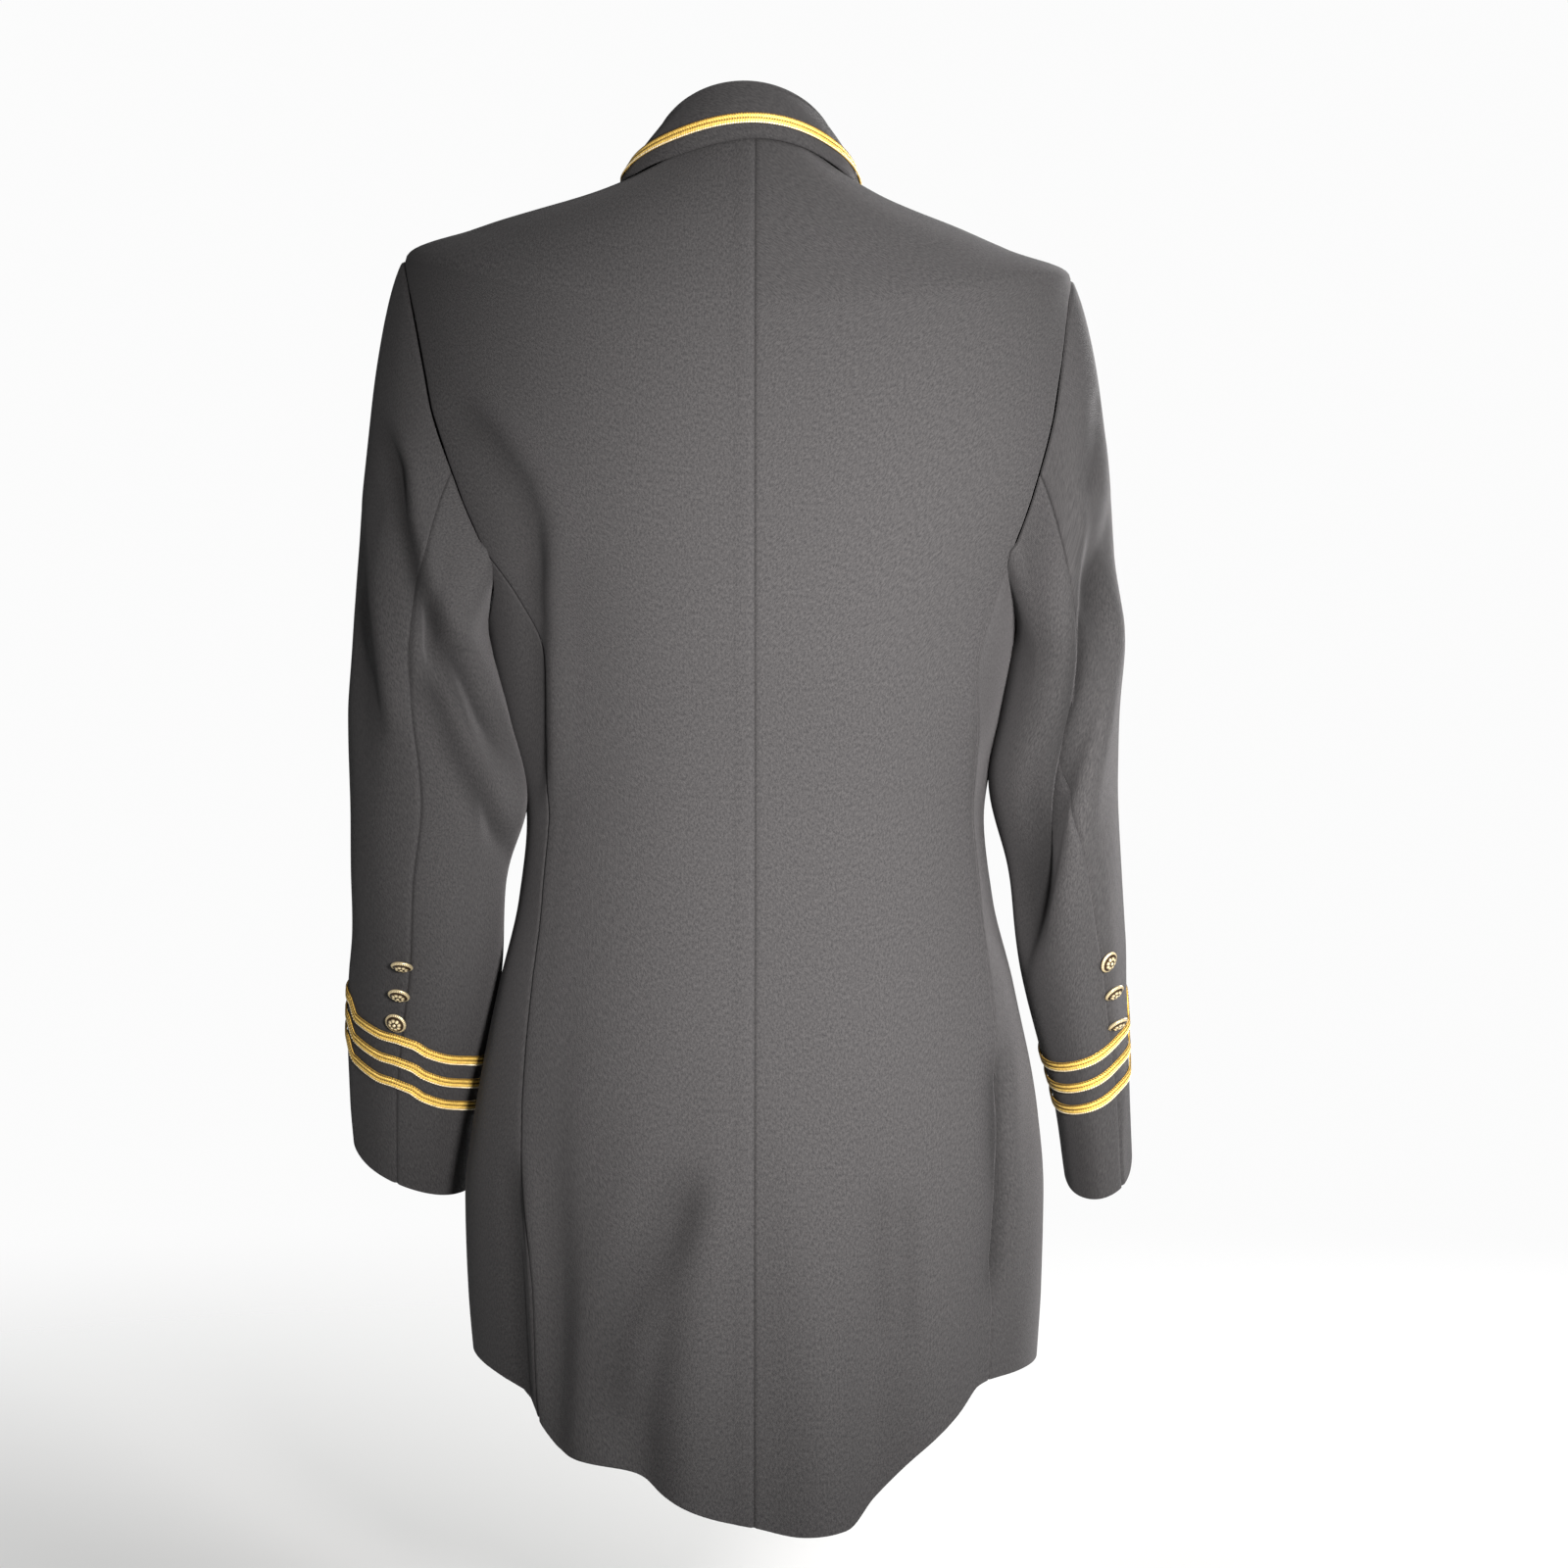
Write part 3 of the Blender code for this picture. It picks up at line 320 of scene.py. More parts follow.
class CLOTH_PG_colours(PropertyGroup):
    """Colours and finish of the cloth and the gold."""

    wool: FloatVectorProperty(
        name="Wool", description="Colour of the dark wool", subtype="COLOR", size=4,
        default=(0.0485, 0.0468, 0.0466, 1.0), min=0.0, max=1.0)
    wool_dark: FloatVectorProperty(
        name="Wool shade", description="Colour of the darker yarn", subtype="COLOR", size=4,
        default=(0.0215, 0.0209, 0.0215, 1.0), min=0.0, max=1.0)
    sheen: FloatProperty(
        name="Nap sheen", description="Strength of the nap's sheen", default=0.08, min=0.0, max=1.0)
    gold_thread: FloatVectorProperty(
        name="Gold thread", description="Colour of the braid's threads", subtype="COLOR", size=4,
        default=(1.0, 0.69, 0.165, 1.0), min=0.0, max=1.0)
    # Painted shade: this dark colour on the braid's upper edge cords stands for a shadow line; the stitches
    # down its middle share it as their own dark colour.
    gold_edge: FloatVectorProperty(
        name="Braid edge", description="Colour of the braid's dark upper edge", subtype="COLOR", size=4,
        default=(0.10, 0.05, 0.006, 1.0), min=0.0, max=1.0)
    # Painted highlight: this pale colour on the braid's lower edge cords stands for light along that edge.
    gold_pale: FloatVectorProperty(
        name="Pale thread", description="Colour of the braid's pale lower edge", subtype="COLOR",
        size=4, default=(0.98, 0.86, 0.60, 1.0), min=0.0, max=1.0)
    gold_base: FloatVectorProperty(
        name="Braid base", description="Colour of the braid between its threads", subtype="COLOR",
        size=4, default=(0.72, 0.45, 0.08, 1.0), min=0.0, max=1.0)
    gold_metal: FloatVectorProperty(
        name="Button metal", description="Colour of the gilt buttons", subtype="COLOR", size=4,
        default=(1.0, 0.83, 0.50, 1.0), min=0.0, max=1.0)


class TRIM_PG_sizes(PropertyGroup):
    """Sizes of the braid and the buttons."""

    braid_width: FloatProperty(
        name="Braid width", description="Width of the flat gold braid", default=0.006, unit="LENGTH")
    braid_thick: FloatProperty(
        name="Braid thickness", description="Thickness of the braid", default=0.0012, unit="LENGTH")
    thread_pitch: FloatProperty(
        name="Thread pitch", description="Spacing of the braid's slanted threads",
        default=0.0016, unit="LENGTH")
    button_radius: FloatProperty(
        name="Cuff button radius", description="Radius of a cuff button",
        default=0.0068, unit="LENGTH")
    button_height: FloatProperty(
        name="Cuff button height", description="Height of a cuff button",
        default=0.0045, unit="LENGTH")
    front_radius: FloatProperty(
        name="Front button radius", description="Radius of a front button",
        default=0.0105, unit="LENGTH")
    front_height: FloatProperty(
        name="Front button height", description="Height of a front button",
        default=0.006, unit="LENGTH")
    petals: IntProperty(
        name="Petals", description="Raised petals round a button's dome", default=8, min=3)


class STUDIO_PG_sizes(PropertyGroup):
    """The floor, the lights and the camera."""

    floor_height: FloatProperty(
        name="Floor", description="Height of the floor under the jacket",
        default=-0.98, unit="LENGTH")
    key_power: FloatProperty(
        name="Key light", description="Power of the main soft light in watts", default=18.0)
    spot_power: FloatProperty(
        name="Spot", description="Power of the spot on the back in watts", default=262.0)
    front_power: FloatProperty(
        name="Front light", description="Power of the soft light on the front in watts", default=90.0)
    sky: FloatProperty(
        name="Surround", description="Strength of the light from all around", default=0.28)
    backdrop: FloatProperty(
        name="Backdrop", description="Brightness of the backdrop that the camera sees", default=0.97)


def curve(rows, key, column, at):
    """Values of a column at the keys given, on a smooth curve through the table's rows."""
    keys = np.array([getattr(row, key) for row in rows], float)
    values = np.array([getattr(row, column) for row in rows], float)
    if keys[0] > keys[-1]:
        keys, values = keys[::-1], values[::-1]
    at = np.clip(at, keys[0], keys[-1])
    index = np.clip(np.searchsorted(keys, at, side="right") - 1, 0, len(keys) - 2)
    spans = np.diff(keys)
    slopes = np.diff(values) / spans
    before, after = slopes[:-1], slopes[1:]
    product = before * after
    total = np.where(before + after == 0.0, 1.0, before + after)
    inner = np.where(product > 0.0, 2.0 * product / total, 0.0)
    tangents = np.concatenate([slopes[:1], inner, slopes[-1:]])
    t = (at - keys[index]) / spans[index]
    return (
        (2 * t ** 3 - 3 * t ** 2 + 1) * values[index]
        + (t ** 3 - 2 * t ** 2 + t) * spans[index] * tangents[index]
        + (3 * t ** 2 - 2 * t ** 3) * values[index + 1]
        + (t ** 3 - t ** 2) * spans[index] * tangents[index + 1]
    )


def ease(low, high, at):
    """0 below low, 1 above high and smooth between them."""
    t = np.clip((at - low) / (high - low), 0.0, 1.0)
    return t * t * (3.0 - 2.0 * t)


def mix(a, b, t):
    return a + (b - a) * t


def stack(x, y, z):
    """Points from their three coordinates."""
    return np.stack(np.broadcast_arrays(x, y, z), axis=-1)


def unit(vectors):
    return vectors / np.maximum(np.linalg.norm(vectors, axis=-1, keepdims=True), 1e-12)


def fold_offset(angle, height):
    """How far the skirt's folds stand out at an angle and a height."""
    total = 0.0
    for fold in FOLDS:
        grown = ease(fold.top, FOLDS_FULL, height)
        centre = mix(fold.angle_top, fold.angle_hem, grown)
        total = total + fold.depth * grown * np.exp(-((angle - centre) / fold.width) ** 2)
    return total


def body_points(angle, height):
    """Inner surface of the body at angles from the centre back and body levels."""
    angle, height = np.broadcast_arrays(np.asarray(angle, float), np.asarray(height, float))
    turn = np.radians(angle)
    out, along = np.sin(turn), np.cos(turn)
    left, back = out >= 0.0, along >= 0.0

    def column(first, second, where):
        one = curve(LEVELS, "height", first, height)
        other = curve(LEVELS, "height", second, height)
        return np.where(where, one, other)

    half = column("half_left", "half_right", left) - CLOTH
    depth = column("back", "front", back) - CLOTH
    power = curve(LEVELS, "height", "square", height)
    side_z = column("side_left", "side_right", left)
    end_z = np.where(back, height, curve(LEVELS, "height", "front_z", height))
    reach = (np.abs(out) / half) ** power + (np.abs(along) / depth) ** power
    radius = reach ** (-1.0 / power) + fold_offset(angle, height)
    weight = np.minimum(1.0, (radius * along / depth) ** 2)
    return stack(radius * out, radius * along, mix(side_z, end_z, weight))


def normals_of(surface, a, b, step_a, step_b, outward):
    """Unit normals of a surface of two values, on the side of the outward directions."""
    along_a = surface(a + step_a, b) - surface(a - step_a, b)
    along_b = surface(a, b + step_b) - surface(a, b - step_b)
    normal = unit(np.cross(along_b, along_a))
    side = np.sign(np.sum(normal * outward, axis=-1, keepdims=True))
    return normal * np.where(side == 0.0, 1.0, side)


def body_normals(angle, height):
    turn = np.radians(angle)
    return normals_of(body_points, angle, height, 0.5, 0.001, stack(np.sin(turn), np.cos(turn), 0.3))


def seam_angle(rows, side, height):
    return curve(rows, "height", SIDE_WORDS[side], height)


def hem_height(angle):
    return curve(HEMS, "angle", "height", angle)


def back_edge(side, height):
    """Outer edge of the back: shoulder seam, armhole and side back seam in turn."""
    low = np.where(
        height >= NOTCH_HEIGHT,
        seam_angle(BACK_ARMHOLE, side, height),
        seam_angle(SIDE_BACK_SEAM, side, height),
    )
    return side * np.where(height >= TIP_HEIGHT, 89.97, low - 0.02)


def front_edge(side, height):
    """Outer edge of the front: shoulder seam, armhole and side front seam in turn."""
    low = np.where(
        height >= NOTCH_HEIGHT,
        seam_angle(FRONT_ARMHOLE, side, height),
        seam_angle(SIDE_FRONT_SEAM, side, height),
    )
    return side * np.where(height >= TIP_HEIGHT, 90.03, low + 0.02)


def centre_edge(side, height):
    """Free edge of the front: the roll line, then the overlap past the centre front."""
    over = math.degrees(FRONT_OVERLAP / FRONT_REACH) * ease(OVERLAP_START, BREAK_HEIGHT, height)
    return side * (seam_angle(ROLL_LINE, side, height) + over)


def underarm_height(side, angle):
    """Height of the armhole's lower edge between the two seams of the side panel."""
    start = seam_angle(SIDE_BACK_SEAM, side, NOTCH_HEIGHT)
    end = seam_angle(SIDE_FRONT_SEAM, side, NOTCH_HEIGHT)
    t = np.clip((np.abs(angle) - start) / (end - start), 0.0, 1.0)
    return NOTCH_HEIGHT - UNDERARM_DROP * np.sin(math.pi * t) ** 0.8


def armhole_points(side, turn):
    """Points and body normals on the armhole, from 0 at the shoulder tip, back first."""
    turn = turn % 1.0
    back = turn <= NOTCH_SHARE
    front = turn >= 1.0 - NOTCH_SHARE
    share = np.clip(np.where(back, turn, 1.0 - turn) / NOTCH_SHARE, 0.0, 1.0)
    height = mix(TIP_HEIGHT, NOTCH_HEIGHT, share)
    start = seam_angle(SIDE_BACK_SEAM, side, NOTCH_HEIGHT)
    end = seam_angle(SIDE_FRONT_SEAM, side, NOTCH_HEIGHT)
    angle = mix(start, end, (turn - NOTCH_SHARE) / (1.0 - 2.0 * NOTCH_SHARE))
    height = np.where(back | front, height, underarm_height(side, angle))
    angle = np.where(front, seam_angle(FRONT_ARMHOLE, side, height), angle)
    angle = side * np.where(back, seam_angle(BACK_ARMHOLE, side, height), angle)
    return body_points(angle, height), body_normals(angle, height)


def sleeve_fold_offset(side, angle, height):
    total = 0.0
    for fold in SLEEVE_FOLDS[side]:
        t = np.clip((height - fold.top) / (fold.low - fold.top), 0.0, 1.0)
        away = (angle - mix(fold.angle_top, fold.angle_low, t) + 180.0) % 360.0 - 180.0
        total = total + fold.depth * np.sin(math.pi * t) * np.exp(-(away / fold.width) ** 2)
    return total


def ring_points(side, angle, height):
    """Inner surface of a sleeve below the armpit. Angle 0 faces back, 90 faces outwards."""
    rings = SLEEVE_RINGS[side]
    turn = np.radians(angle)
    extra = sleeve_fold_offset(side, angle, height) - CLOTH
    half_across = curve(rings, "height", "half_across", height) + extra
    across = half_across * np.sin(turn)
    along = (curve(rings, "height", "half_along", height) + extra) * np.cos(turn)
    lift = across * curve(rings, "height", "rise_out", height)
    lift = lift - along * curve(rings, "height", "rise_front", height)
    away = (angle % 360.0 - CUFF_RISE_ANGLE) / CUFF_RISE_WIDTH
    lift = lift + ease(*CUFF_RISE_LEVELS, height) * CUFF_RISE * np.exp(-away ** 2)
    x = side * (curve(rings, "height", "across", height) + across)
    return stack(x, curve(rings, "height", "along", height) + along, height + lift)


def sleeve_points(side, angle, down):
    """Inner surface of a sleeve. down is 0 at the armhole, 1 at the armpit, 2 at the hem."""
    angle, down = np.broadcast_arrays(np.asarray(angle, float), np.asarray(down, float))
    cuff = SLEEVE_RINGS[side][-1].height
    low = ring_points(side, angle, mix(ARMPIT_RING, cuff, np.maximum(down, 1.0) - 1.0))
    turn = np.radians(angle)
    start, normal = armhole_points(side, (90.0 - angle) / 360.0)
    end = ring_points(side, angle, np.full_like(angle, ARMPIT_RING))
    fold = np.maximum(0.0, -(normal[..., 0] * side * np.sin(turn) + normal[..., 1] * np.cos(turn)))
    clear = CLOTH * (1.0 + fold) + LAY_GAP + UNDERARM_GAP * ease(0.0, 0.5, fold)
    start = start + normal * clear[..., None]
    drop = np.maximum(LEAST_DROP, start[..., 2] - end[..., 2])
    size = drop / SLEEVE_DROP
    leave = stack(side * LEAVE_OUT * size, LEAVE_BACK * size * np.cos(turn), -LEAVE_DOWN * drop)
    arrive = stack(side * ARRIVE_OUT * size, 0.0, -drop)
    t = np.minimum(down, 1.0)[..., None]
    high = (
        start * (2 * t ** 3 - 3 * t ** 2 + 1)
        + leave * (t ** 3 - 2 * t ** 2 + t)
        + end * (3 * t ** 2 - 2 * t ** 3)
        + arrive * (t ** 3 - t ** 2)
    )
    return np.where(down[..., None] >= 1.0, low, high)


def sleeve_normals(side, angle, down):
    def surface(a, b):
        return sleeve_points(side, a, np.maximum(b, 0.0))

    turn = np.radians(angle)
    return normals_of(surface, angle, down, 1.0, 0.004, stack(side * np.sin(turn), np.cos(turn), 0.0))


def sleeve_down(side, above_hem):
    """The sleeve's down value at a distance above its hem."""
    return 2.0 - above_hem / (ARMPIT_RING - SLEEVE_RINGS[side][-1].height)


def sleeve_seams(side, down):
    height = mix(SLEEVE_BACK_SEAM[0].height, SLEEVE_BACK_SEAM[-1].height, down / 2.0)
    return seam_angle(SLEEVE_BACK_SEAM, side, height), seam_angle(SLEEVE_FRONT_SEAM, side, height)


def collar_points(angle, across):
    """Sheet of the collar. across is 0 at the neck seam, 1 at the fold, 2 at the free edge."""
    angle, across = np.broadcast_arrays(np.asarray(angle, float), np.asarray(across, float))
    turn = np.radians(angle)
    radial = stack(np.sin(turn), np.cos(turn), 0.0)
    lift = FOLD_LIFT * np.cos(turn) * np.where(np.abs(angle) < 90.0, 1.0, FOLD_FRONT_DROP)
    x = COLLAR_SHIFT + FOLD_HALF * np.sin(turn)
    fold = stack(x, FOLD_DEPTH * np.cos(turn) + FOLD_BACK, FOLD_SIDE + lift)
    seam = body_points(angle, NECK_HEIGHT) - radial * 2.0 * LAY_GAP
    level = curve(FALL_EDGE, "angle", "level", angle)
    clear = curve(FALL_EDGE, "angle", "clear", angle)
    edge = body_points(angle, level) + body_normals(angle, level) * (CLOTH + clear)[..., None]
    t = across[..., None]
    stand = mix(seam, fold - radial * FOLD_ROUND, t / FOLD_START)
    roll = (t - FOLD_START) / (FOLD_END - FOLD_START) * math.pi
    turned = fold - radial * FOLD_ROUND * np.cos(roll) + np.array([0, 0, FOLD_ROUND]) * np.sin(roll)
    t = (t - FOLD_END) / (2.0 - FOLD_END)
    fall = mix(fold + radial * FOLD_ROUND, edge, t) + radial * FALL_BULGE * np.sin(math.pi * t)
    across = across[..., None]
    return np.where(across <= FOLD_START, stand, np.where(across <= FOLD_END, turned, fall))


def collar_normals(angle, across):
    def surface(a, b):
        return collar_points(a, np.minimum(b, 2.0))

    turn = np.radians(angle)
    inside = np.where(across <= 1.0, -1.0, 1.0)
    outward = stack(np.sin(turn) * inside, np.cos(turn) * inside, np.where(across <= 1.0, 0.2, 0.5))
    return normals_of(surface, angle, across, 1.0, 0.01, outward)


def front_points(side, angle, height):
    """Front surface, with the wearer's right front laid over the left one."""
    points = body_points(angle, height)
    if side == RIGHT:
        over = ease(*RIGHT_OVER_ANGLES, np.abs(angle)) * ease(*RIGHT_OVER_LEVELS, height)
        points = points + body_normals(angle, height) * (over * (CLOTH + 2.0 * LAY_GAP))[..., None]
    return points




def distances(points):
    """Distances along each row of a grid from its first and from its last column."""
    steps = np.linalg.norm(np.diff(points, axis=1), axis=-1)
    run = np.concatenate([np.zeros((len(points), 1)), np.cumsum(steps, axis=1)], axis=1)
    return run, run[:, -1:] - run


def falls(points):
    """Distances down each column of a grid from its first and from its last row."""
    run, rest = distances(points.swapaxes(0, 1))
    return run.T, rest.T


def column_places(width, reach, step):
    """Columns of a panel, closer together at both edges.

    Each has an angle from the first edge, an angle from the last edge and a share.
    """
    near = np.degrees(EDGE_STEPS / reach)
    shares = np.linspace(0.0, 1.0, max(4, round(width / step)))[1:-1]
    full = np.full(len(shares), near[-1])
    from_first = np.concatenate([near, full, np.full(len(near), near[-1])])
    from_last = np.concatenate([np.full(len(near), near[-1]), full, near[::-1]])
    share = np.concatenate([np.zeros(len(near)), shares, np.ones(len(near))])
    return from_first, from_last, share


def across_panel(first, last, places):
    """Angles of a panel's columns between two edges given for each corner."""
    from_first, from_last, share = places
    way = np.sign(last - first)
    return mix(first + way * from_first, last - way * from_last, share)


def grid_normals(points):
    """Normals of a grid, towards the side that its cloth faces."""
    return unit(np.cross(np.gradient(points, axis=1), np.gradient(points, axis=0)))


def shares_down(length, step, edges=(False, True)):
    """Shares of a length for the rows, closer together at the ends that are edges."""
    near = EDGE_STEPS / length
    start = near if edges[0] else near[:1]
    end = 1.0 - near[::-1] if edges[1] else np.array([1.0])
    inner = np.linspace(start[-1], end[0], max(3, round(length / step)))[1:-1]
    return np.concatenate([start, inner, end])


def ripples(points, size, stretch, seed):
    """Smooth random unevenness, from -1 to 1, longer along Z by the stretch."""
    flat = points.reshape(-1, 3) / np.array([size, size, size * stretch]) + seed
    values = [noise.noise(Vector(p)) for p in flat]
    return np.array(values).reshape(points.shape[:-1])


# A crease is a line over the cloth, drawn in the X-Z plane, with facing 1 for the back and
# -1 for the front, or in the Y-Z plane of the outer side of an arm with facing 0. It sinks
# by depth over its width, and beside it, on the right for who looks at it, it rises by ridge.
# Each crease also paints shade into the wool's colour along its well: full where a crease is this steep,
# and darkening the wool towards black at most by the share after it.
STEEPEST_CREASE = 1.30
CREASE_SHADE_MOST = 0.66
Crease = namedtuple("Crease", "facing width depth ridge line")
CREASES = {
    "body": (
        Crease(1, 0.011, 0.0050, 0.0008, (
            (0.190, -0.137), (0.163, -0.167), (0.142, -0.198), (0.134, -0.221), (0.132, -0.264))),
        Crease(1, 0.0085, 0.0050, 0.0018, (
            (0.136, -0.215), (0.133, -0.251), (0.132, -0.294), (0.132, -0.336),
            (0.133, -0.372), (0.137, -0.399))),
        Crease(1, 0.0065, 0.0055, 0.0020, (
            (0.146, -0.592), (0.144, -0.634), (0.141, -0.694), (0.138, -0.742), (0.129, -0.787))),
        Crease(1, 0.016, 0.0070, 0.0030, (
            (0.031, -0.598), (0.053, -0.651), (0.071, -0.681), (0.083, -0.710), (0.090, -0.776))),
        Crease(1, 0.006, 0.0012, 0.0, ((-0.077, -0.609), (-0.077, -0.715))),
        Crease(1, 0.006, 0.0012, 0.0, ((-0.092, -0.615), (-0.093, -0.721))),
        Crease(1, 0.006, 0.0056, 0.0014, (
            (-0.149, -0.530), (-0.148, -0.595), (-0.150, -0.631), (-0.147, -0.665), (-0.143, -0.700))),
        Crease(-1, 0.010, 0.0026, 0.0006, ((0.150, -0.150), (0.128, -0.215), (0.120, -0.275))),
        Crease(-1, 0.008, 0.0022, 0.0, ((-0.140, -0.180), (-0.122, -0.245), (-0.118, -0.300))),
        Crease(-1, 0.007, 0.0020, 0.0006, ((0.012, -0.350), (0.045, -0.378), (0.082, -0.390))),
        Crease(-1, 0.007, 0.0016, 0.0, ((-0.020, -0.430), (-0.055, -0.448), (-0.092, -0.452))),
        Crease(-1, 0.012, 0.0030, 0.0, ((0.095, -0.540), (0.100, -0.640), (0.106, -0.740))),
        Crease(-1, 0.011, 0.0026, 0.0, ((-0.105, -0.570), (-0.098, -0.660), (-0.096, -0.735))),
    ),
    "sleeve_left": (
        Crease(1, 0.0062, 0.0075, 0.0016, (
            (0.235, -0.142), (0.219, -0.184), (0.215, -0.217), (0.207, -0.248), (0.190, -0.293),
            (0.168, -0.344), (0.158, -0.369), (0.152, -0.388))),
        Crease(1, 0.0060, 0.0062, 0.0014, (
            (0.207, -0.298), (0.192, -0.331), (0.183, -0.357), (0.168, -0.389),
            (0.156, -0.415), (0.150, -0.432))),
        Crease(1, 0.0070, 0.0040, 0.0030, (
            (0.249, -0.195), (0.241, -0.257), (0.232, -0.318), (0.225, -0.362))),
        Crease(1, 0.0035, -0.0014, 0.0, ((0.255, -0.441), (0.254, -0.503), (0.256, -0.622))),
        Crease(-1, 0.0060, 0.0034, 0.0, ((0.166, -0.215), (0.185, -0.262), (0.215, -0.300))),
        Crease(-1, 0.0055, 0.0030, 0.0, ((0.168, -0.300), (0.190, -0.345), (0.222, -0.372))),
        Crease(-1, 0.0060, 0.0026, 0.0, ((0.172, -0.375), (0.198, -0.402), (0.228, -0.412))),
    ),
    "sleeve_right": (
        Crease(1, 0.0055, 0.0030, 0.0008, ((-0.216, -0.123), (-0.211, -0.168), (-0.205, -0.209))),
        Crease(1, 0.0105, 0.0140, 0.0045, (
            (-0.223, -0.190), (-0.219, -0.212), (-0.211, -0.261), (-0.197, -0.320), (-0.190, -0.355),
            (-0.181, -0.398), (-0.168, -0.485), (-0.163, -0.510))),
        Crease(1, 0.0035, -0.0014, 0.0, ((-0.233, -0.441), (-0.233, -0.616))),
        Crease(-1, 0.0060, 0.0032, 0.0, ((-0.152, -0.230), (-0.170, -0.275), (-0.198, -0.305))),
        Crease(-1, 0.0060, 0.0030, 0.0, ((-0.160, -0.330), (-0.178, -0.368), (-0.208, -0.390))),
    ),
}


def crease_offset(points, normals, creases):
    """How far placed creases move each point along its normal, and the painted shade they put on it."""
    total = np.zeros(points.shape[:-1])
    hollow = np.zeros_like(total)
    for crease in creases:
        axis = 1 if crease.facing == 0 else 0
        flat = points[..., (axis, 2)]
        line = np.array(crease.line)
        steps = np.linalg.norm(np.diff(line, axis=0), axis=1)
        starts = np.concatenate([[0.0], np.cumsum(steps)])
        best = np.full(total.shape, 1e9)
        signed = np.zeros_like(best)
        along = np.zeros_like(best)
        for i, step in enumerate(steps):
            way = (line[i + 1] - line[i]) / step
            away = flat - line[i]
            t = np.clip(away @ way, 0.0, step)
            gap = away - t[..., None] * way
            size = np.linalg.norm(gap, axis=-1)
            cross = way[0] * gap[..., 1] - way[1] * gap[..., 0]
            near = size < best
            best = np.where(near, size, best)
            signed = np.where(near, np.sign(cross) * size, signed)
            along = np.where(near, (starts[i] + t) / starts[-1], along)
        taper = ease(0.0, 0.22, along) * ease(1.0, 0.78, along)
        facing = normals[..., 1] * crease.facing if crease.facing else np.abs(normals[..., 0])
        right = signed * (-crease.facing or 1)
        spread = crease.width * np.where(right < 0.0, 1.35, 0.75)
        well = np.exp(-(right / spread) ** 2)
        crest = np.exp(-((right - 1.5 * crease.width) / crease.width) ** 2)
        taper = taper * ease(0.0, 0.25, facing)
        total += (crease.ridge * crest - crease.depth * well) * taper
        # Painted shade: the steeper the crease, the darker its well is painted.
        steep = crease.depth / crease.width / STEEPEST_CREASE
        hollow = np.maximum(hollow, steep * well * taper)
    return total, np.clip(hollow, 0.0, 1.0)


def link(obj):
    bpy.context.scene.collection.objects.link(obj)
    return obj


def wall(name, outer, inner, look, hollow=None):
    """Closed cloth wall between an outer and an inner grid, with rounded edges and a UV map.

    The columns run clockwise seen from above, so that faces made row by row look out.
    The UV map is in metres: across the cloth from its first column, and down it.
    """
    rows, columns = outer.shape[:2]
    count = rows * columns
    index = np.arange(count).reshape(rows, columns)
    loop = np.concatenate([index[0, :-1], index[:-1, -1], index[-1, :0:-1], index[:0:-1, 0]])
    middle = (outer + inner) / 2.0
    thick = np.linalg.norm(outer - inner, axis=-1, keepdims=True)
    push = np.zeros_like(middle)
    push[0] += unit(middle[0] - middle[1])
    push[-1] += unit(middle[-1] - middle[-2])
    push[:, 0] += unit(middle[:, 0] - middle[:, 1])
    push[:, -1] += unit(middle[:, -1] - middle[:, -2])
    rim = (middle + push * thick * 0.3).reshape(-1, 3)[loop]
    corners = np.concatenate([outer.reshape(-1, 3), inner.reshape(-1, 3), rim])
    a, b, c, d = (index[:-1, :-1], index[:-1, 1:], index[1:, 1:], index[1:, :-1])
    face = np.stack([a, b, c, d], axis=-1).reshape(-1, 4)
    after = np.roll(loop, -1)
    edge = np.arange(len(loop)) + 2 * count
    edge_after = np.roll(edge, -1)
    top = np.stack([after, loop, edge, edge_after], axis=-1)
    low = np.stack([edge_after, edge, loop + count, after + count], axis=-1)
    faces = np.concatenate([face, face[:, ::-1] + count, top, low])
    mesh = bpy.data.meshes.new(name)
    mesh.from_pydata(corners.tolist(), [], faces.tolist())
    across = distances(outer)[0].reshape(-1)
    down = falls(outer)[0].reshape(-1)
    spot = np.stack([across, -down], axis=-1)
    spot = np.concatenate([spot, spot, spot[loop]])
    corner_of = np.empty(len(mesh.loops), dtype=np.int32)
    mesh.loops.foreach_get("vertex_index", corner_of)
    layer = mesh.uv_layers.new(name="Cloth")
    layer.data.foreach_set("uv", spot[corner_of].astype(np.float32).ravel())
    # The creases' painted shade, stored on the outer side's points for the wool's colour.
    if hollow is not None:
        depth = np.zeros(len(corners), dtype=np.float32)
        depth[:count] = hollow.ravel()
        mesh.attributes.new("Hollow", "FLOAT", "POINT").data.foreach_set("value", depth)
    mesh.shade_smooth()
    mesh.materials.append(look)
    mesh.validate()
    return link(bpy.data.objects.new(name, mesh))


# Each part's ripples start from a seed and have their own roughness. A sleeve also swells
# where it rests on the body, by its own share.
Ground = namedtuple("Ground", "seed rough side rest")
GROUNDS = {
    "body": Ground(0.0, 1.0, 0, 0.0),
    "collar": Ground(11.0, 0.35, 0, 0.0),
    "lapel": Ground(17.0, 0.3, 0, 0.0),
    "sleeve_left": Ground(23.0, 1.3, LEFT, 1.5),
    "sleeve_right": Ground(31.0, 1.3, RIGHT, 1.1),
}


def arm_rest(points, normals, side):
    """Swell of a sleeve's inner side, where it rests against the body."""
    inward = ease(0.05, 0.75, -normals[..., 0] * side)
    behind = ease(-0.045, 0.0, points[..., 1])
    height = points[..., 2]
    return inward * behind * ease(-0.195, -0.255, height) * ease(-0.430, -0.370, height)


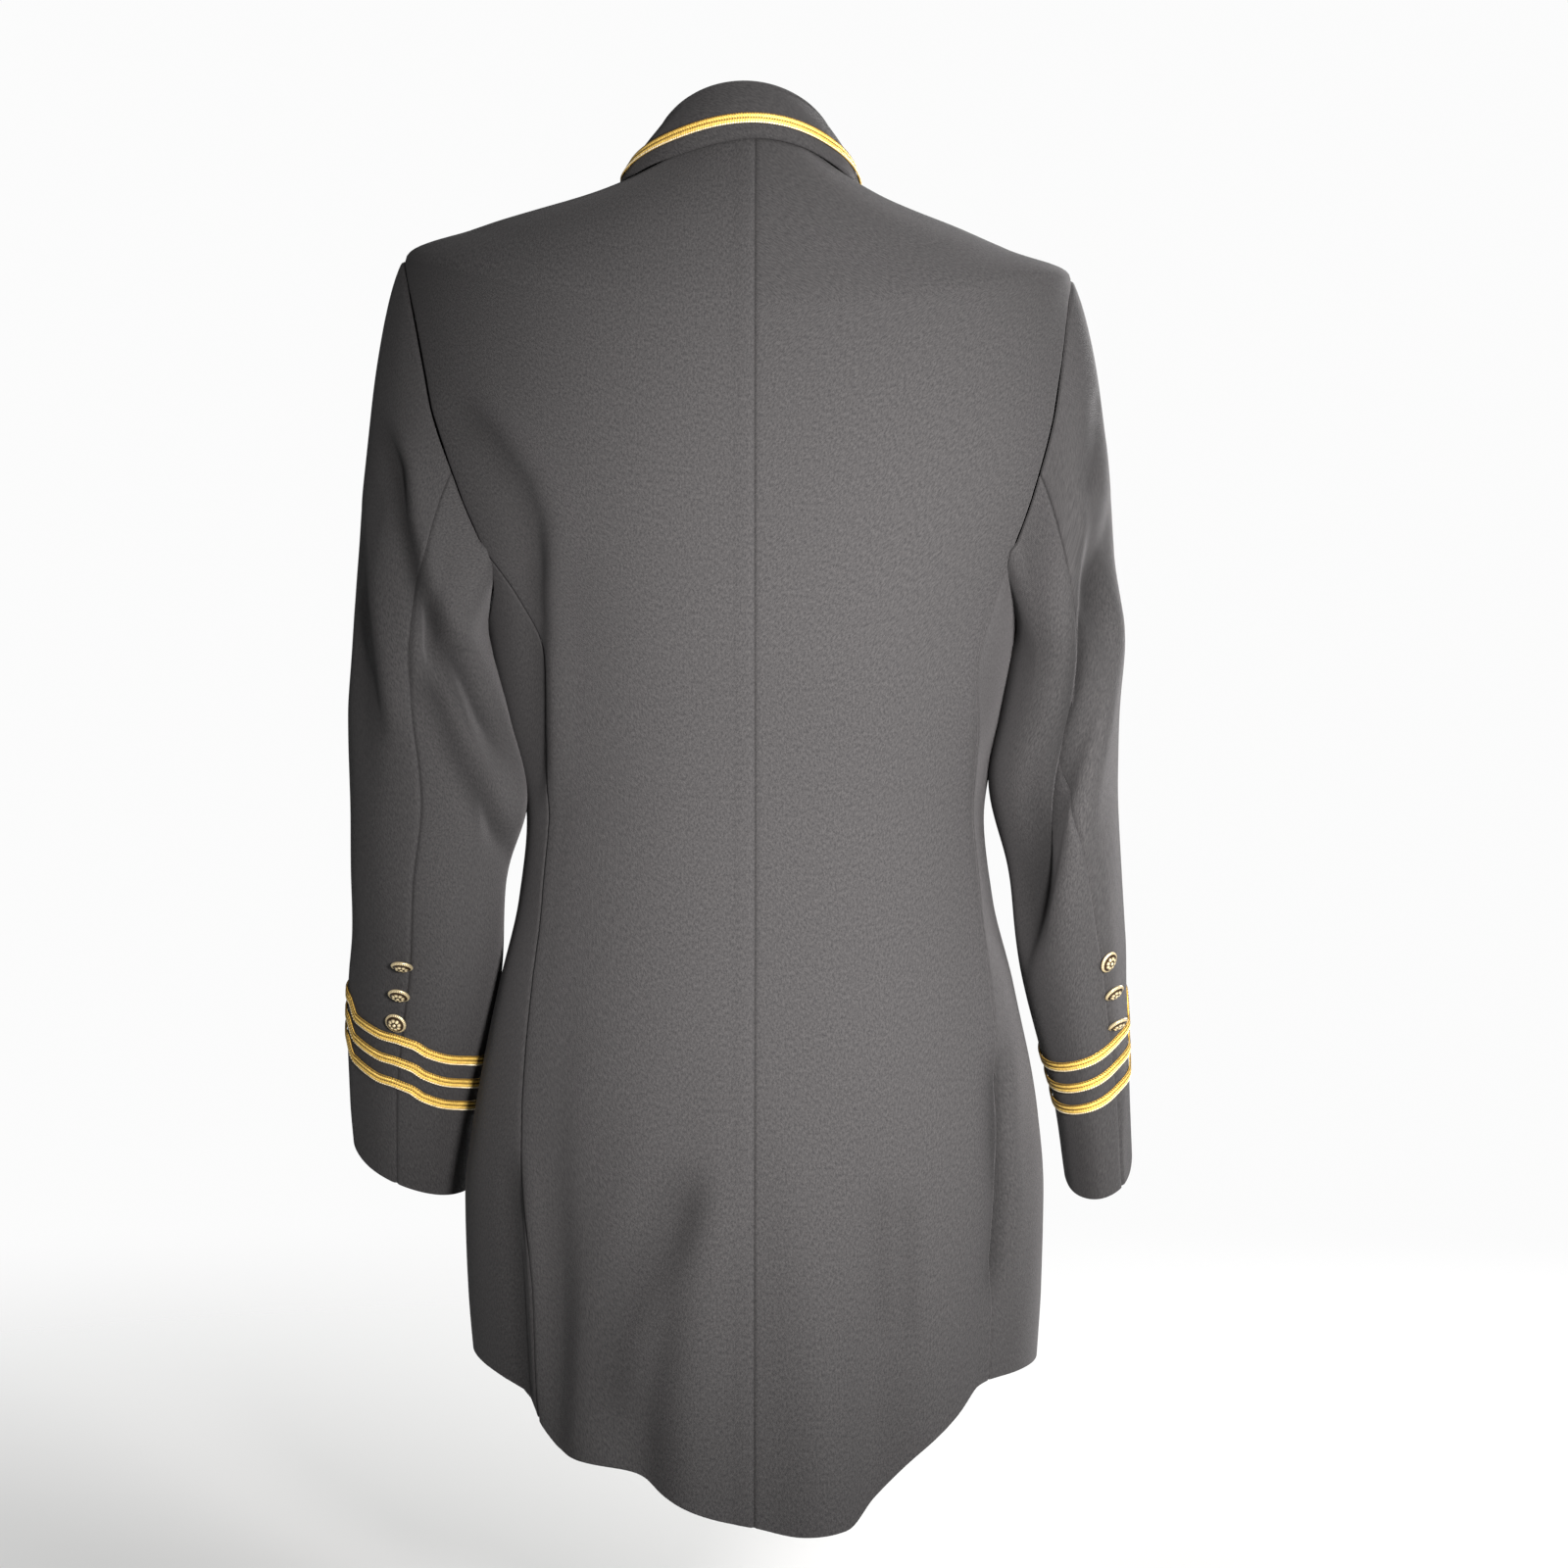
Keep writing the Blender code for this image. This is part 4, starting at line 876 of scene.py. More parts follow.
def cloth_move(points, normals, ground):
    """How far ripples and creases move the points of one part of the cloth, and their painted shade."""
    sizes = bpy.context.scene.cloth_sizes
    seed, rough, side, share = GROUNDS[ground]
    rest = sizes.arm_rest * share * arm_rest(points, normals, side)
    soft = ripples(points, 0.070, 1.8, seed) * 0.7 + ripples(points, 0.028, 1.5, seed + 7.0) * 0.3
    placed, hollow = crease_offset(points, normals, CREASES.get(ground, ()))
    return sizes.ripple * rough * soft + sizes.crease * placed + rest, hollow


def cloth_wall(name, points, look, ground, edges, thickness=CLOTH):
    """Wall of cloth on a grid of inner points.

    edges says which of the left, right, top and low edges are sewn seams: 1 for a plain
    seam and 2 for one with the allowances turned under this side.
    """
    sizes = bpy.context.scene.cloth_sizes
    normals = grid_normals(points)
    move, hollow = cloth_move(points, normals, ground)
    first, last = distances(points)
    top, low = falls(points)
    gathers = ripples(points, 0.006, 1.0, 3.0)
    lift = np.full(move.shape, thickness)
    for kind, away in zip(edges, (first, last, top, low)):
        if kind == 0:
            continue
        lift = lift - sizes.groove * np.exp(-(away / sizes.groove_width) ** 2)
        lift = lift + sizes.pucker * gathers * np.exp(-(away / 0.006) ** 2)
        if kind == 2:
            lift = lift + sizes.ridge * ease(0.0120, 0.0090, away)
    inner = points + normals * move[..., None]
    outer = inner + normals * lift[..., None]
    return wall(name, outer, inner, look, hollow)


def dressed(piece, slot, *nodes, flat=None, area=None, held="hung"):
    """Attaches a finished piece to the root body and hides the parts of the model that it stands for."""
    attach(piece, "root")
    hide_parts(*nodes)
    return piece


def node_of(tree, kind, place=(0, 0), **settings):
    node = tree.nodes.new(kind)
    node.location = place
    for key, value in settings.items():
        setattr(node, key, value)
    return node


def empty_material(name):
    """A material with a Principled BSDF, and its tree and shader."""
    material = bpy.data.materials.get(name) or bpy.data.materials.new(name)
    material.use_nodes = True
    tree = material.node_tree
    return material, tree, tree.nodes["Principled BSDF"]


def wool_material():
    """Fine dark wool twill with a soft nap, brushed along the cloth's length, with painted shade in its
    creases.
    """
    colours = bpy.context.scene.cloth_colours
    material, tree, shader = empty_material("Dark wool twill")
    links = tree.links
    cloth = node_of(tree, "ShaderNodeUVMap", (-1400, 0), uv_map="Cloth")
    fibres = node_of(tree, "ShaderNodeMapping", (-1200, 200))
    fibres.inputs["Scale"].default_value = (1.0, 0.55, 1.0)
    links.new(cloth.outputs["UV"], fibres.inputs["Vector"])

    def speckle(scale, detail, place):
        pattern = node_of(tree, "ShaderNodeTexNoise", place)
        pattern.inputs["Scale"].default_value = scale
        pattern.inputs["Detail"].default_value = detail
        pattern.inputs["Roughness"].default_value = 0.65
        links.new(fibres.outputs["Vector"], pattern.inputs["Vector"])
        return pattern.outputs["Fac"]

    nap = speckle(1500.0, 3.0, (-1000, 300))
    mottle = speckle(780.0, 2.0, (-1000, 60))
    twill = node_of(tree, "ShaderNodeMapping", (-1200, -300))
    twill.inputs["Rotation"].default_value = (0.0, 0.0, math.radians(58.0))
    links.new(cloth.outputs["UV"], twill.inputs["Vector"])
    ribs = node_of(tree, "ShaderNodeTexWave", (-1000, -300), wave_type="BANDS", bands_direction="X")
    ribs.inputs["Scale"].default_value = 420.0
    ribs.inputs["Distortion"].default_value = 1.2
    ribs.inputs["Detail"].default_value = 1.0
    links.new(twill.outputs["Vector"], ribs.inputs["Vector"])
    blend = node_of(tree, "ShaderNodeMix", (-780, 200), data_type="FLOAT")
    blend.inputs[0].default_value = 0.55
    links.new(nap, blend.inputs[2])
    links.new(mottle, blend.inputs[3])
    ramp = node_of(tree, "ShaderNodeValToRGB", (-560, 200))
    ramp.color_ramp.elements[0].position = 0.38
    ramp.color_ramp.elements[0].color = colours.wool_dark
    ramp.color_ramp.elements[1].position = 0.62
    ramp.color_ramp.elements[1].color = colours.wool
    links.new(blend.outputs[0], ramp.inputs["Fac"])
    # Painted shade: the crease shade stored on the points mixes the wool's colour towards black, at most by
    # the share set for it.
    folds = node_of(tree, "ShaderNodeAttribute", (-560, 480), attribute_name="Hollow")
    worn = node_of(tree, "ShaderNodeMapRange", (-380, 480))
    worn.inputs["To Max"].default_value = CREASE_SHADE_MOST
    links.new(folds.outputs["Fac"], worn.inputs["Value"])
    tone = node_of(tree, "ShaderNodeMix", (-200, 300), data_type="RGBA")
    tone.inputs[7].default_value = (0.0, 0.0, 0.0, 1.0)
    links.new(worn.outputs["Result"], tone.inputs[0])
    links.new(ramp.outputs["Color"], tone.inputs[6])
    links.new(tone.outputs[2], shader.inputs["Base Color"])
    height = node_of(tree, "ShaderNodeMath", (-560, -200), operation="MULTIPLY_ADD")
    height.inputs[1].default_value = 0.5
    links.new(ribs.outputs["Fac"], height.inputs[0])
    links.new(blend.outputs[0], height.inputs[2])
    bump = node_of(tree, "ShaderNodeBump", (-340, -200))
    bump.inputs["Strength"].default_value = 0.55
    bump.inputs["Distance"].default_value = 0.0004
    links.new(height.outputs[0], bump.inputs["Height"])
    links.new(bump.outputs["Normal"], shader.inputs["Normal"])
    shader.inputs["Roughness"].default_value = 0.92
    shader.inputs["Specular IOR Level"].default_value = 0.22
    shader.inputs["Sheen Weight"].default_value = colours.sheen
    shader.inputs["Sheen Roughness"].default_value = 0.45
    shader.inputs["Sheen Tint"].default_value = (0.75, 0.73, 0.74, 1.0)
    return material


def gold_material(name, colour, roughness, metallic):
    """Gold thread or gilt with a fine uneven tone."""
    material, tree, shader = empty_material(name)
    links = tree.links
    place = node_of(tree, "ShaderNodeTexCoord", (-900, 0))
    tone = node_of(tree, "ShaderNodeTexNoise", (-700, 0))
    tone.inputs["Scale"].default_value = 700.0
    tone.inputs["Detail"].default_value = 2.0
    links.new(place.outputs["Object"], tone.inputs["Vector"])
    ramp = node_of(tree, "ShaderNodeValToRGB", (-480, 0))
    ramp.color_ramp.elements[0].position = 0.3
    ramp.color_ramp.elements[0].color = [c * 0.62 for c in colour[:3]] + [1.0]
    ramp.color_ramp.elements[1].position = 0.62
    ramp.color_ramp.elements[1].color = colour
    links.new(tone.outputs["Fac"], ramp.inputs["Fac"])
    links.new(ramp.outputs["Color"], shader.inputs["Base Color"])
    shader.inputs["Roughness"].default_value = roughness
    shader.inputs["Metallic"].default_value = metallic
    return material


def panel_levels():
    """Levels of a panel's rows from the neck to the armhole's notches."""
    upper = np.linspace(NECK_HEIGHT, TIP_HEIGHT, round((NECK_HEIGHT - TIP_HEIGHT) / (0.8 * ROW_STEP)))
    lower = np.linspace(TIP_HEIGHT, NOTCH_HEIGHT, round((TIP_HEIGHT - NOTCH_HEIGHT) / ROW_STEP))
    return np.concatenate([upper, lower[1:]])


def panel_heights(low, first_level=None):
    """Levels of all rows of a panel for each column's lowest level."""
    top = panel_levels() if first_level is None else first_level
    shares = shares_down(abs(HEM_LEVEL - NOTCH_HEIGHT), ROW_STEP)[1:]
    upper = np.repeat(top[:, None], len(low), axis=1)
    return np.concatenate([upper, mix(NOTCH_HEIGHT, low[None], shares[:, None])])


def facing_out(points, flip):
    """The grid with its columns in clockwise order."""
    return points[:, ::-1] if flip else points


def back_grid(side):
    places = column_places(0.17, BODY_REACH, COLUMN_STEP)
    middle = side * 0.02
    low = hem_height(across_panel(middle, back_edge(side, HEM_LEVEL), places))
    heights = panel_heights(low)
    angles = across_panel(middle, back_edge(side, heights), places)
    return facing_out(body_points(angles, heights), side == RIGHT)


def side_grid(side):
    places = column_places(0.09, BODY_REACH, COLUMN_STEP)
    start = side * seam_angle(SIDE_BACK_SEAM, side, NOTCH_HEIGHT)
    end = side * seam_angle(SIDE_FRONT_SEAM, side, NOTCH_HEIGHT)
    top = underarm_height(side, across_panel(start, end, places))
    low_start = side * seam_angle(SIDE_BACK_SEAM, side, HEM_LEVEL)
    low_end = side * seam_angle(SIDE_FRONT_SEAM, side, HEM_LEVEL)
    low = hem_height(across_panel(low_start, low_end, places))
    shares = shares_down(abs(HEM_LEVEL - NOTCH_HEIGHT), ROW_STEP, edges=(True, True))
    heights = mix(top[None], low[None], shares[:, None])
    first = side * (seam_angle(SIDE_BACK_SEAM, side, heights) + 0.02)
    last = side * (seam_angle(SIDE_FRONT_SEAM, side, heights) - 0.02)
    return facing_out(body_points(across_panel(first, last, places), heights), side == RIGHT)


def front_grid(side):
    places = column_places(0.17, BODY_REACH, COLUMN_STEP)
    low_angle = across_panel(front_edge(side, HEM_LEVEL), centre_edge(side, HEM_LEVEL), places)
    low = hem_height(side * np.minimum(180.0, np.abs(low_angle)))
    from_corner = np.radians(np.abs(centre_edge(side, HEM_LEVEL) - low_angle)) * FRONT_REACH
    inside = np.minimum(1.0, from_corner / FRONT_CORNER)
    low = low + FRONT_CORNER * (1.0 - np.sqrt(1.0 - (1.0 - inside) ** 2))
    heights = panel_heights(low)
    angles = across_panel(front_edge(side, heights), centre_edge(side, heights), places)
    return facing_out(front_points(side, angles, heights), side == RIGHT)


def lapel_grid(side):
    heights = np.linspace(LAPEL_TOP, LAPEL_LOW[side], 90)[:, None]
    shares = np.linspace(0.0, 1.0, 22)
    roll = seam_angle(ROLL_LINE, side, heights) + 1.0
    angles = side * mix(roll, seam_angle(LAPEL_EDGE, side, heights), shares)
    crown = LAPEL_CROWN * np.sin(math.pi * shares) * ease(LAPEL_LOW[side], LAPEL_CROWN_FULL, heights)
    lift = CLOTH + LAY_GAP * 2.0 + crown
    heights = np.broadcast_to(heights, angles.shape)
    points = front_points(side, angles, heights) + body_normals(angles, heights) * lift[..., None]
    return facing_out(points, side == LEFT)


def sleeve_grid(side, upper):
    places = column_places(0.18 if upper else 0.12, SLEEVE_REACH, COLUMN_STEP)
    downs = shares_down(0.55, ROW_STEP, edges=(True, True))[:, None] * 2.0
    back, front = sleeve_seams(side, downs)
    first, last = (back + 0.06, front - 0.06) if upper else (front + 0.06 - 360.0, back - 0.06)
    points = sleeve_points(side, across_panel(first, last, places), downs)
    near = np.exp(-((downs[1:-1, :, None] - 1.0) / 0.06) ** 2)
    for _ in range(24):
        points[1:-1] += 0.5 * near * ((points[:-2] + points[2:]) / 2.0 - points[1:-1])
    return facing_out(points, side == RIGHT)


def collar_grid():
    angles = np.linspace(-COLLAR_END, COLLAR_END, 150)
    across = np.concatenate([
        np.linspace(0.0, FOLD_START, 12)[:-1], np.linspace(FOLD_START, FOLD_END, 11)[:-1],
        np.linspace(FOLD_END, 2.0, 18),
    ])
    return collar_points(angles[None, :], across[:, None])


Cut = namedtuple("Cut", "width length area")
CUTS = {
    "back": Cut(0.205, 0.850, 0.142),
    "side": Cut(0.170, 0.530, 0.064),
    "front": Cut(0.225, 0.865, 0.123),
    "lapel": Cut(0.065, 0.295, 0.0112),
    "upper_sleeve": Cut(0.205, 0.590, 0.093),
    "under_sleeve": Cut(0.160, 0.475, 0.0547),
    "collar": Cut(0.390, 0.085, 0.0189),
}


def cut_sheet(piece, cut, *nodes):
    width, length, area = CUTS[cut]
    return dressed(piece, "wool", *nodes, flat=(width, length), area=area)


class JACKET_OT_body(Operator):
    """Back, side and front panels of the body"""

    bl_idname = "jacket.body"
    bl_label = "Body panels"

    def execute(self, context):
        look = wool_material()
        for side, word in SIDE_WORDS.items():
            centre = 2 if side == LEFT else 1
            edges = (centre, 2, 0, 0) if side == LEFT else (2, centre, 0, 0)
            back = cloth_wall("back_" + word + "_cloth", back_grid(side), look, "body", edges)
            cut_sheet(back, "back", "back_" + word)
            edges = (1, 1, 1, 0)
            panel = cloth_wall("side_" + word + "_cloth", side_grid(side), look, "body", edges)
            cut_sheet(panel, "side", "side_" + word)
            edges = (1, 0, 0, 0) if side == LEFT else (0, 1, 0, 0)
            front = cloth_wall("front_" + word + "_cloth", front_grid(side), look, "body", edges)
            cut_sheet(front, "front", "front_" + word)
        return {"FINISHED"}


class JACKET_OT_sleeves(Operator):
    """Upper and under pieces of both sleeves"""

    bl_idname = "jacket.sleeves"
    bl_label = "Sleeves"

    def execute(self, context):
        look = wool_material()
        for side, word in SIDE_WORDS.items():
            for upper, kind in ((True, "upper_sleeve"), (False, "under_sleeve")):
                points = sleeve_grid(side, upper)
                name = kind + "_" + word
                piece = cloth_wall(name + "_cloth", points, look, "sleeve_" + word, (1, 1, 1, 0))
                cut_sheet(piece, kind, name)
        return {"FINISHED"}


class JACKET_OT_collar(Operator):
    """Turned-down collar and both lapels"""

    bl_idname = "jacket.collar"
    bl_label = "Collar and lapels"

    def execute(self, context):
        look = wool_material()
        piece = cloth_wall("collar_cloth", collar_grid(), look, "collar", (0, 0, 0, 0))
        cut_sheet(piece, "collar", "collar")
        for side, word in SIDE_WORDS.items():
            piece = cloth_wall("lapel_" + word + "_cloth", lapel_grid(side), look, "lapel", (0, 0, 0, 0))
            cut_sheet(piece, "lapel", "lapel_" + word)
        return {"FINISHED"}


def skin(side, angle, down):
    """Points and normals of a sleeve's outer side, with its ripples and creases."""
    points = sleeve_points(side, angle, down)
    normals = sleeve_normals(side, angle, down)
    move, _ = cloth_move(points, normals, "sleeve_" + SIDE_WORDS[side])
    return points + normals * (move + CLOTH)[..., None], normals


def collar_skin(angle, across):
    """Points and normals of the collar's outer side, with its ripples."""
    points = collar_points(angle, across)
    normals = collar_normals(angle, across)
    move, _ = cloth_move(points, normals, "collar")
    return points + normals * (move + CLOTH)[..., None], normals


def even_path(path, outs, pitch, closed):
    """The path and its outward directions at even steps of about one pitch."""
    ends = np.concatenate([path, path[:1]]) if closed else path
    out_ends = np.concatenate([outs, outs[:1]]) if closed else outs
    run = np.concatenate([[0.0], np.cumsum(np.linalg.norm(np.diff(ends, axis=0), axis=1))])
    count = round(run[-1] / pitch)
    places = np.linspace(0.0, run[-1], count + 1)
    places = places[:-1] if closed else places
    even = np.stack([np.interp(places, run, ends[:, i]) for i in range(3)], axis=-1)
    even_outs = unit(np.stack([np.interp(places, run, out_ends[:, i]) for i in range(3)], axis=-1))
    return even, even_outs


def ways_along(path, closed):
    if closed:
        return unit(np.roll(path, -1, axis=0) - np.roll(path, 1, axis=0))
    return unit(np.gradient(path, axis=0))


def band(name, path, outs, width, thick, closed, look):
    """Flat band lying on a path, a little rounded at both edges and hollowed along its middle."""
    along = ways_along(path, closed)
    across = unit(np.cross(outs, along))
    profile = [(-0.50, 0.1), (-0.50, 0.62), (-0.44, 0.9), (-0.30, 0.86), (-0.10, 0.80), (0.0, 0.55)]
    profile += [(-w, h) for w, h in profile[-2::-1]]
    rows = [path + across * (w * width) + outs * (h * thick) for w, h in profile]
    grid = np.stack(rows, axis=1)
    count, sides = grid.shape[:2]
    index = np.arange(count * sides).reshape(count, sides)
    if closed:
        index = np.concatenate([index, index[:1]])
    near, far = index[:-1], index[1:]
    faces = np.stack([near, far, np.roll(far, -1, axis=1), np.roll(near, -1, axis=1)], axis=-1)
    faces = faces.reshape(-1, 4).tolist()
    if not closed:
        faces += [index[0].tolist(), index[-1, ::-1].tolist()]
    mesh = bpy.data.meshes.new(name)
    mesh.from_pydata(grid.reshape(-1, 3).tolist(), [], faces)
    mesh.shade_smooth()
    mesh.materials.append(look)
    return link(bpy.data.objects.new(name, mesh))


def thread_group():
    """Geometry Nodes group that lays slanted threads, edge cords and stitches on a path."""
    group = bpy.data.node_groups.get("Braid threads")
    if group:
        return group
    group = bpy.data.node_groups.new("Braid threads", "GeometryNodeTree")

    def socket(name, kind, way="INPUT"):
        return group.interface.new_socket(name=name, in_out=way, socket_type=kind)

    socket("Geometry", "NodeSocketGeometry")
    socket("Band", "NodeSocketObject")
    socket("Thread", "NodeSocketMaterial")
    socket("Upper edge", "NodeSocketMaterial")
    socket("Lower edge", "NodeSocketMaterial")
    socket("Stitch", "NodeSocketMaterial")
    socket("Width", "NodeSocketFloat")
    socket("Thickness", "NodeSocketFloat")
    socket("Pitch", "NodeSocketFloat")
    socket("Geometry", "NodeSocketGeometry", "OUTPUT")
    start = node_of(group, "NodeGroupInput", (-1400, 0))
    end = node_of(group, "NodeGroupOutput", (900, 0))
    links = group.links

    def wire(source, target):
        links.new(source, target)

    def scaled(name, factor, place):
        times = node_of(group, "ShaderNodeMath", place, operation="MULTIPLY")
        wire(start.outputs[name], times.inputs[0])
        times.inputs[1].default_value = factor
        return times.outputs[0]

    def vector(x, y, z, place):
        combine = node_of(group, "ShaderNodeCombineXYZ", place)
        for target, source in zip(combine.inputs, (x, y, z)):
            if source is not None:
                wire(source, target)
        return combine.outputs[0]

    along = node_of(group, "GeometryNodeInputNamedAttribute", (-1400, -400), data_type="FLOAT_VECTOR")
    along.inputs["Name"].default_value = "along"
    out = node_of(group, "GeometryNodeInputNamedAttribute", (-1400, -600), data_type="FLOAT_VECTOR")
    out.inputs["Name"].default_value = "out"
    turn = node_of(group, "FunctionNodeAxesToRotation", (-1180, -450), primary_axis="Z", secondary_axis="X")
    wire(out.outputs["Attribute"], turn.inputs["Primary Axis"])
    wire(along.outputs["Attribute"], turn.inputs["Secondary Axis"])
    join = node_of(group, "GeometryNodeJoinGeometry", (650, 0))

    def laid(sizes, offset, slant, material, place, sides=(6, 4)):
        """One row of ellipsoids along the path, each moved and turned in its own frame."""
        x, y = place
        bead = node_of(group, "GeometryNodeMeshUVSphere", (x, y))
        bead.inputs["Segments"].default_value = sides[0]
        bead.inputs["Rings"].default_value = sides[1]
        bead.inputs["Radius"].default_value = 1.0
        shape = node_of(group, "GeometryNodeTransform", (x + 180, y))
        wire(bead.outputs["Mesh"], shape.inputs["Geometry"])
        wire(vector(*sizes, (x, y - 160)), shape.inputs["Scale"])
        place_all = node_of(group, "GeometryNodeInstanceOnPoints", (x + 360, y))
        wire(start.outputs["Geometry"], place_all.inputs["Points"])
        wire(shape.outputs["Geometry"], place_all.inputs["Instance"])
        wire(turn.outputs["Rotation"], place_all.inputs["Rotation"])
        move = node_of(group, "GeometryNodeTranslateInstances", (x + 540, y))
        move.inputs["Local Space"].default_value = True
        wire(place_all.outputs["Instances"], move.inputs["Instances"])
        wire(vector(None, *offset, (x + 360, y - 200)), move.inputs["Translation"])
        spin = node_of(group, "GeometryNodeRotateInstances", (x + 720, y))
        spin.inputs["Local Space"].default_value = True
        spin.inputs["Rotation"].default_value = (0.0, 0.0, math.radians(slant))
        wire(move.outputs["Instances"], spin.inputs["Instances"])
        real = node_of(group, "GeometryNodeRealizeInstances", (x + 900, y))
        wire(spin.outputs["Instances"], real.inputs["Geometry"])
        finish = node_of(group, "GeometryNodeSetMaterial", (x + 1080, y))
        wire(real.outputs["Geometry"], finish.inputs["Geometry"])
        wire(start.outputs[material], finish.inputs["Material"])
        wire(finish.outputs["Geometry"], join.inputs["Geometry"])

    thread_size = (scaled("Width", 0.165, (-900, 300)), scaled("Pitch", 0.44, (-900, 200)),
                   scaled("Thickness", 0.26, (-900, 100)))
    lift = scaled("Thickness", 0.80, (-900, 0))
    for sign in (1.0, -1.0):
        offset = scaled("Width", 0.215 * sign, (-900, -100 * sign))
        laid(thread_size, (offset, lift), 90.0 - 52.0 * sign, "Thread", (-700, 600 * sign))
    edge_size = (scaled("Pitch", 0.58, (-900, -300)), scaled("Width", 0.085, (-900, -400)),
                 scaled("Thickness", 0.30, (-900, -500)))
    edge_lift = scaled("Thickness", 0.78, (-900, -600))
    # The lower edge cords take the painted highlight and the upper edge cords the painted shade.
    for sign, edge in ((1.0, "Lower edge"), (-1.0, "Upper edge")):
        offset = scaled("Width", 0.44 * sign, (-900, -700 * sign))
        laid(edge_size, (offset, edge_lift), 24.0 * sign, edge, (-700, 1100 * sign))
    stitch_size = (scaled("Pitch", 0.34, (-900, -800)), scaled("Pitch", 0.30, (-900, -900)),
                   scaled("Thickness", 0.20, (-900, -1000)))
    stitch_lift = scaled("Thickness", 0.92, (-900, -1100))
    laid(stitch_size, (None, stitch_lift), 0.0, "Stitch", (-700, -1700))
    base = node_of(group, "GeometryNodeObjectInfo", (300, -200))
    wire(start.outputs["Band"], base.inputs["Object"])
    wire(base.outputs["Geometry"], join.inputs["Geometry"])
    wire(join.outputs["Geometry"], end.inputs["Geometry"])
    return group


def braid(name, path, outs, closed, node):
    """Flat gold braid along a path over the cloth, with its threads."""
    sizes = bpy.context.scene.trim_sizes
    colours = bpy.context.scene.cloth_colours
    thread = gold_material("Gold thread", colours.gold_thread, 0.42, 0.35)
    # Painted light: the dark upper edge cords carry painted shade and the pale lower ones a painted
    # highlight; the stitches share the dark colour.
    edge = gold_material("Braid edge", colours.gold_edge, 0.6, 0.2)
    pale = gold_material("Pale thread", colours.gold_pale, 0.42, 0.3)
    under = gold_material("Braid base", colours.gold_base, 0.55, 0.3)
    path, outs = even_path(path, outs, sizes.thread_pitch, closed)
    path = path + outs * BRAID_LIFT
    base = band(name + "_base", path, outs, sizes.braid_width, sizes.braid_thick, closed, under)
    mesh = bpy.data.meshes.new(name)
    mesh.from_pydata(path.tolist(), [], [])
    for key, values in (("along", ways_along(path, closed)), ("out", outs)):
        layer = mesh.attributes.new(key, "FLOAT_VECTOR", "POINT")
        layer.data.foreach_set("vector", values.astype(np.float32).ravel())
    piece = link(bpy.data.objects.new(name, mesh))
    threads = piece.modifiers.new("Braid threads", "NODES")
    threads.node_group = thread_group()
    values = {
        "Band": base, "Thread": thread, "Upper edge": edge, "Lower edge": pale, "Stitch": edge,
        "Width": sizes.braid_width, "Thickness": sizes.braid_thick, "Pitch": sizes.thread_pitch,
    }
    for item in threads.node_group.interface.items_tree:
        if item.in_out == "INPUT" and item.name in values:
            threads[item.identifier] = values[item.name]
    depsgraph = bpy.context.evaluated_depsgraph_get()
    made = bpy.data.meshes.new_from_object(piece.evaluated_get(depsgraph), depsgraph=depsgraph)
    piece.modifiers.clear()
    piece.data = made
    bpy.data.objects.remove(base)
    return dressed(piece, "gold_braid", node)


def button_material():
    """Gilt metal, darker where the relief lies low."""
    colours = bpy.context.scene.cloth_colours
    material, tree, shader = empty_material("Gilt buttons")
    patina = node_of(tree, "ShaderNodeAttribute", (-600, 0), attribute_name="Relief")
    ramp = node_of(tree, "ShaderNodeValToRGB", (-400, 0))
    ramp.color_ramp.elements[0].position = 0.15
    ramp.color_ramp.elements[0].color = (0.045, 0.024, 0.010, 1.0)
    ramp.color_ramp.elements[1].position = 0.75
    ramp.color_ramp.elements[1].color = colours.gold_metal
    tree.links.new(patina.outputs["Fac"], ramp.inputs["Fac"])
    tree.links.new(ramp.outputs["Color"], shader.inputs["Base Color"])
    shader.inputs["Metallic"].default_value = 0.65
    shader.inputs["Roughness"].default_value = 0.30
    return material


def tilted(place, out, radius, tilt):
    """Place and facing of a button that hangs over on its shank by the tilt in degrees."""
    turn = math.radians(tilt)
    down = out * out[2] - UPWARD
    down = down / np.linalg.norm(down)
    return place + out * (radius * 0.55 * math.sin(turn)), out * math.cos(turn) + down * math.sin(turn)


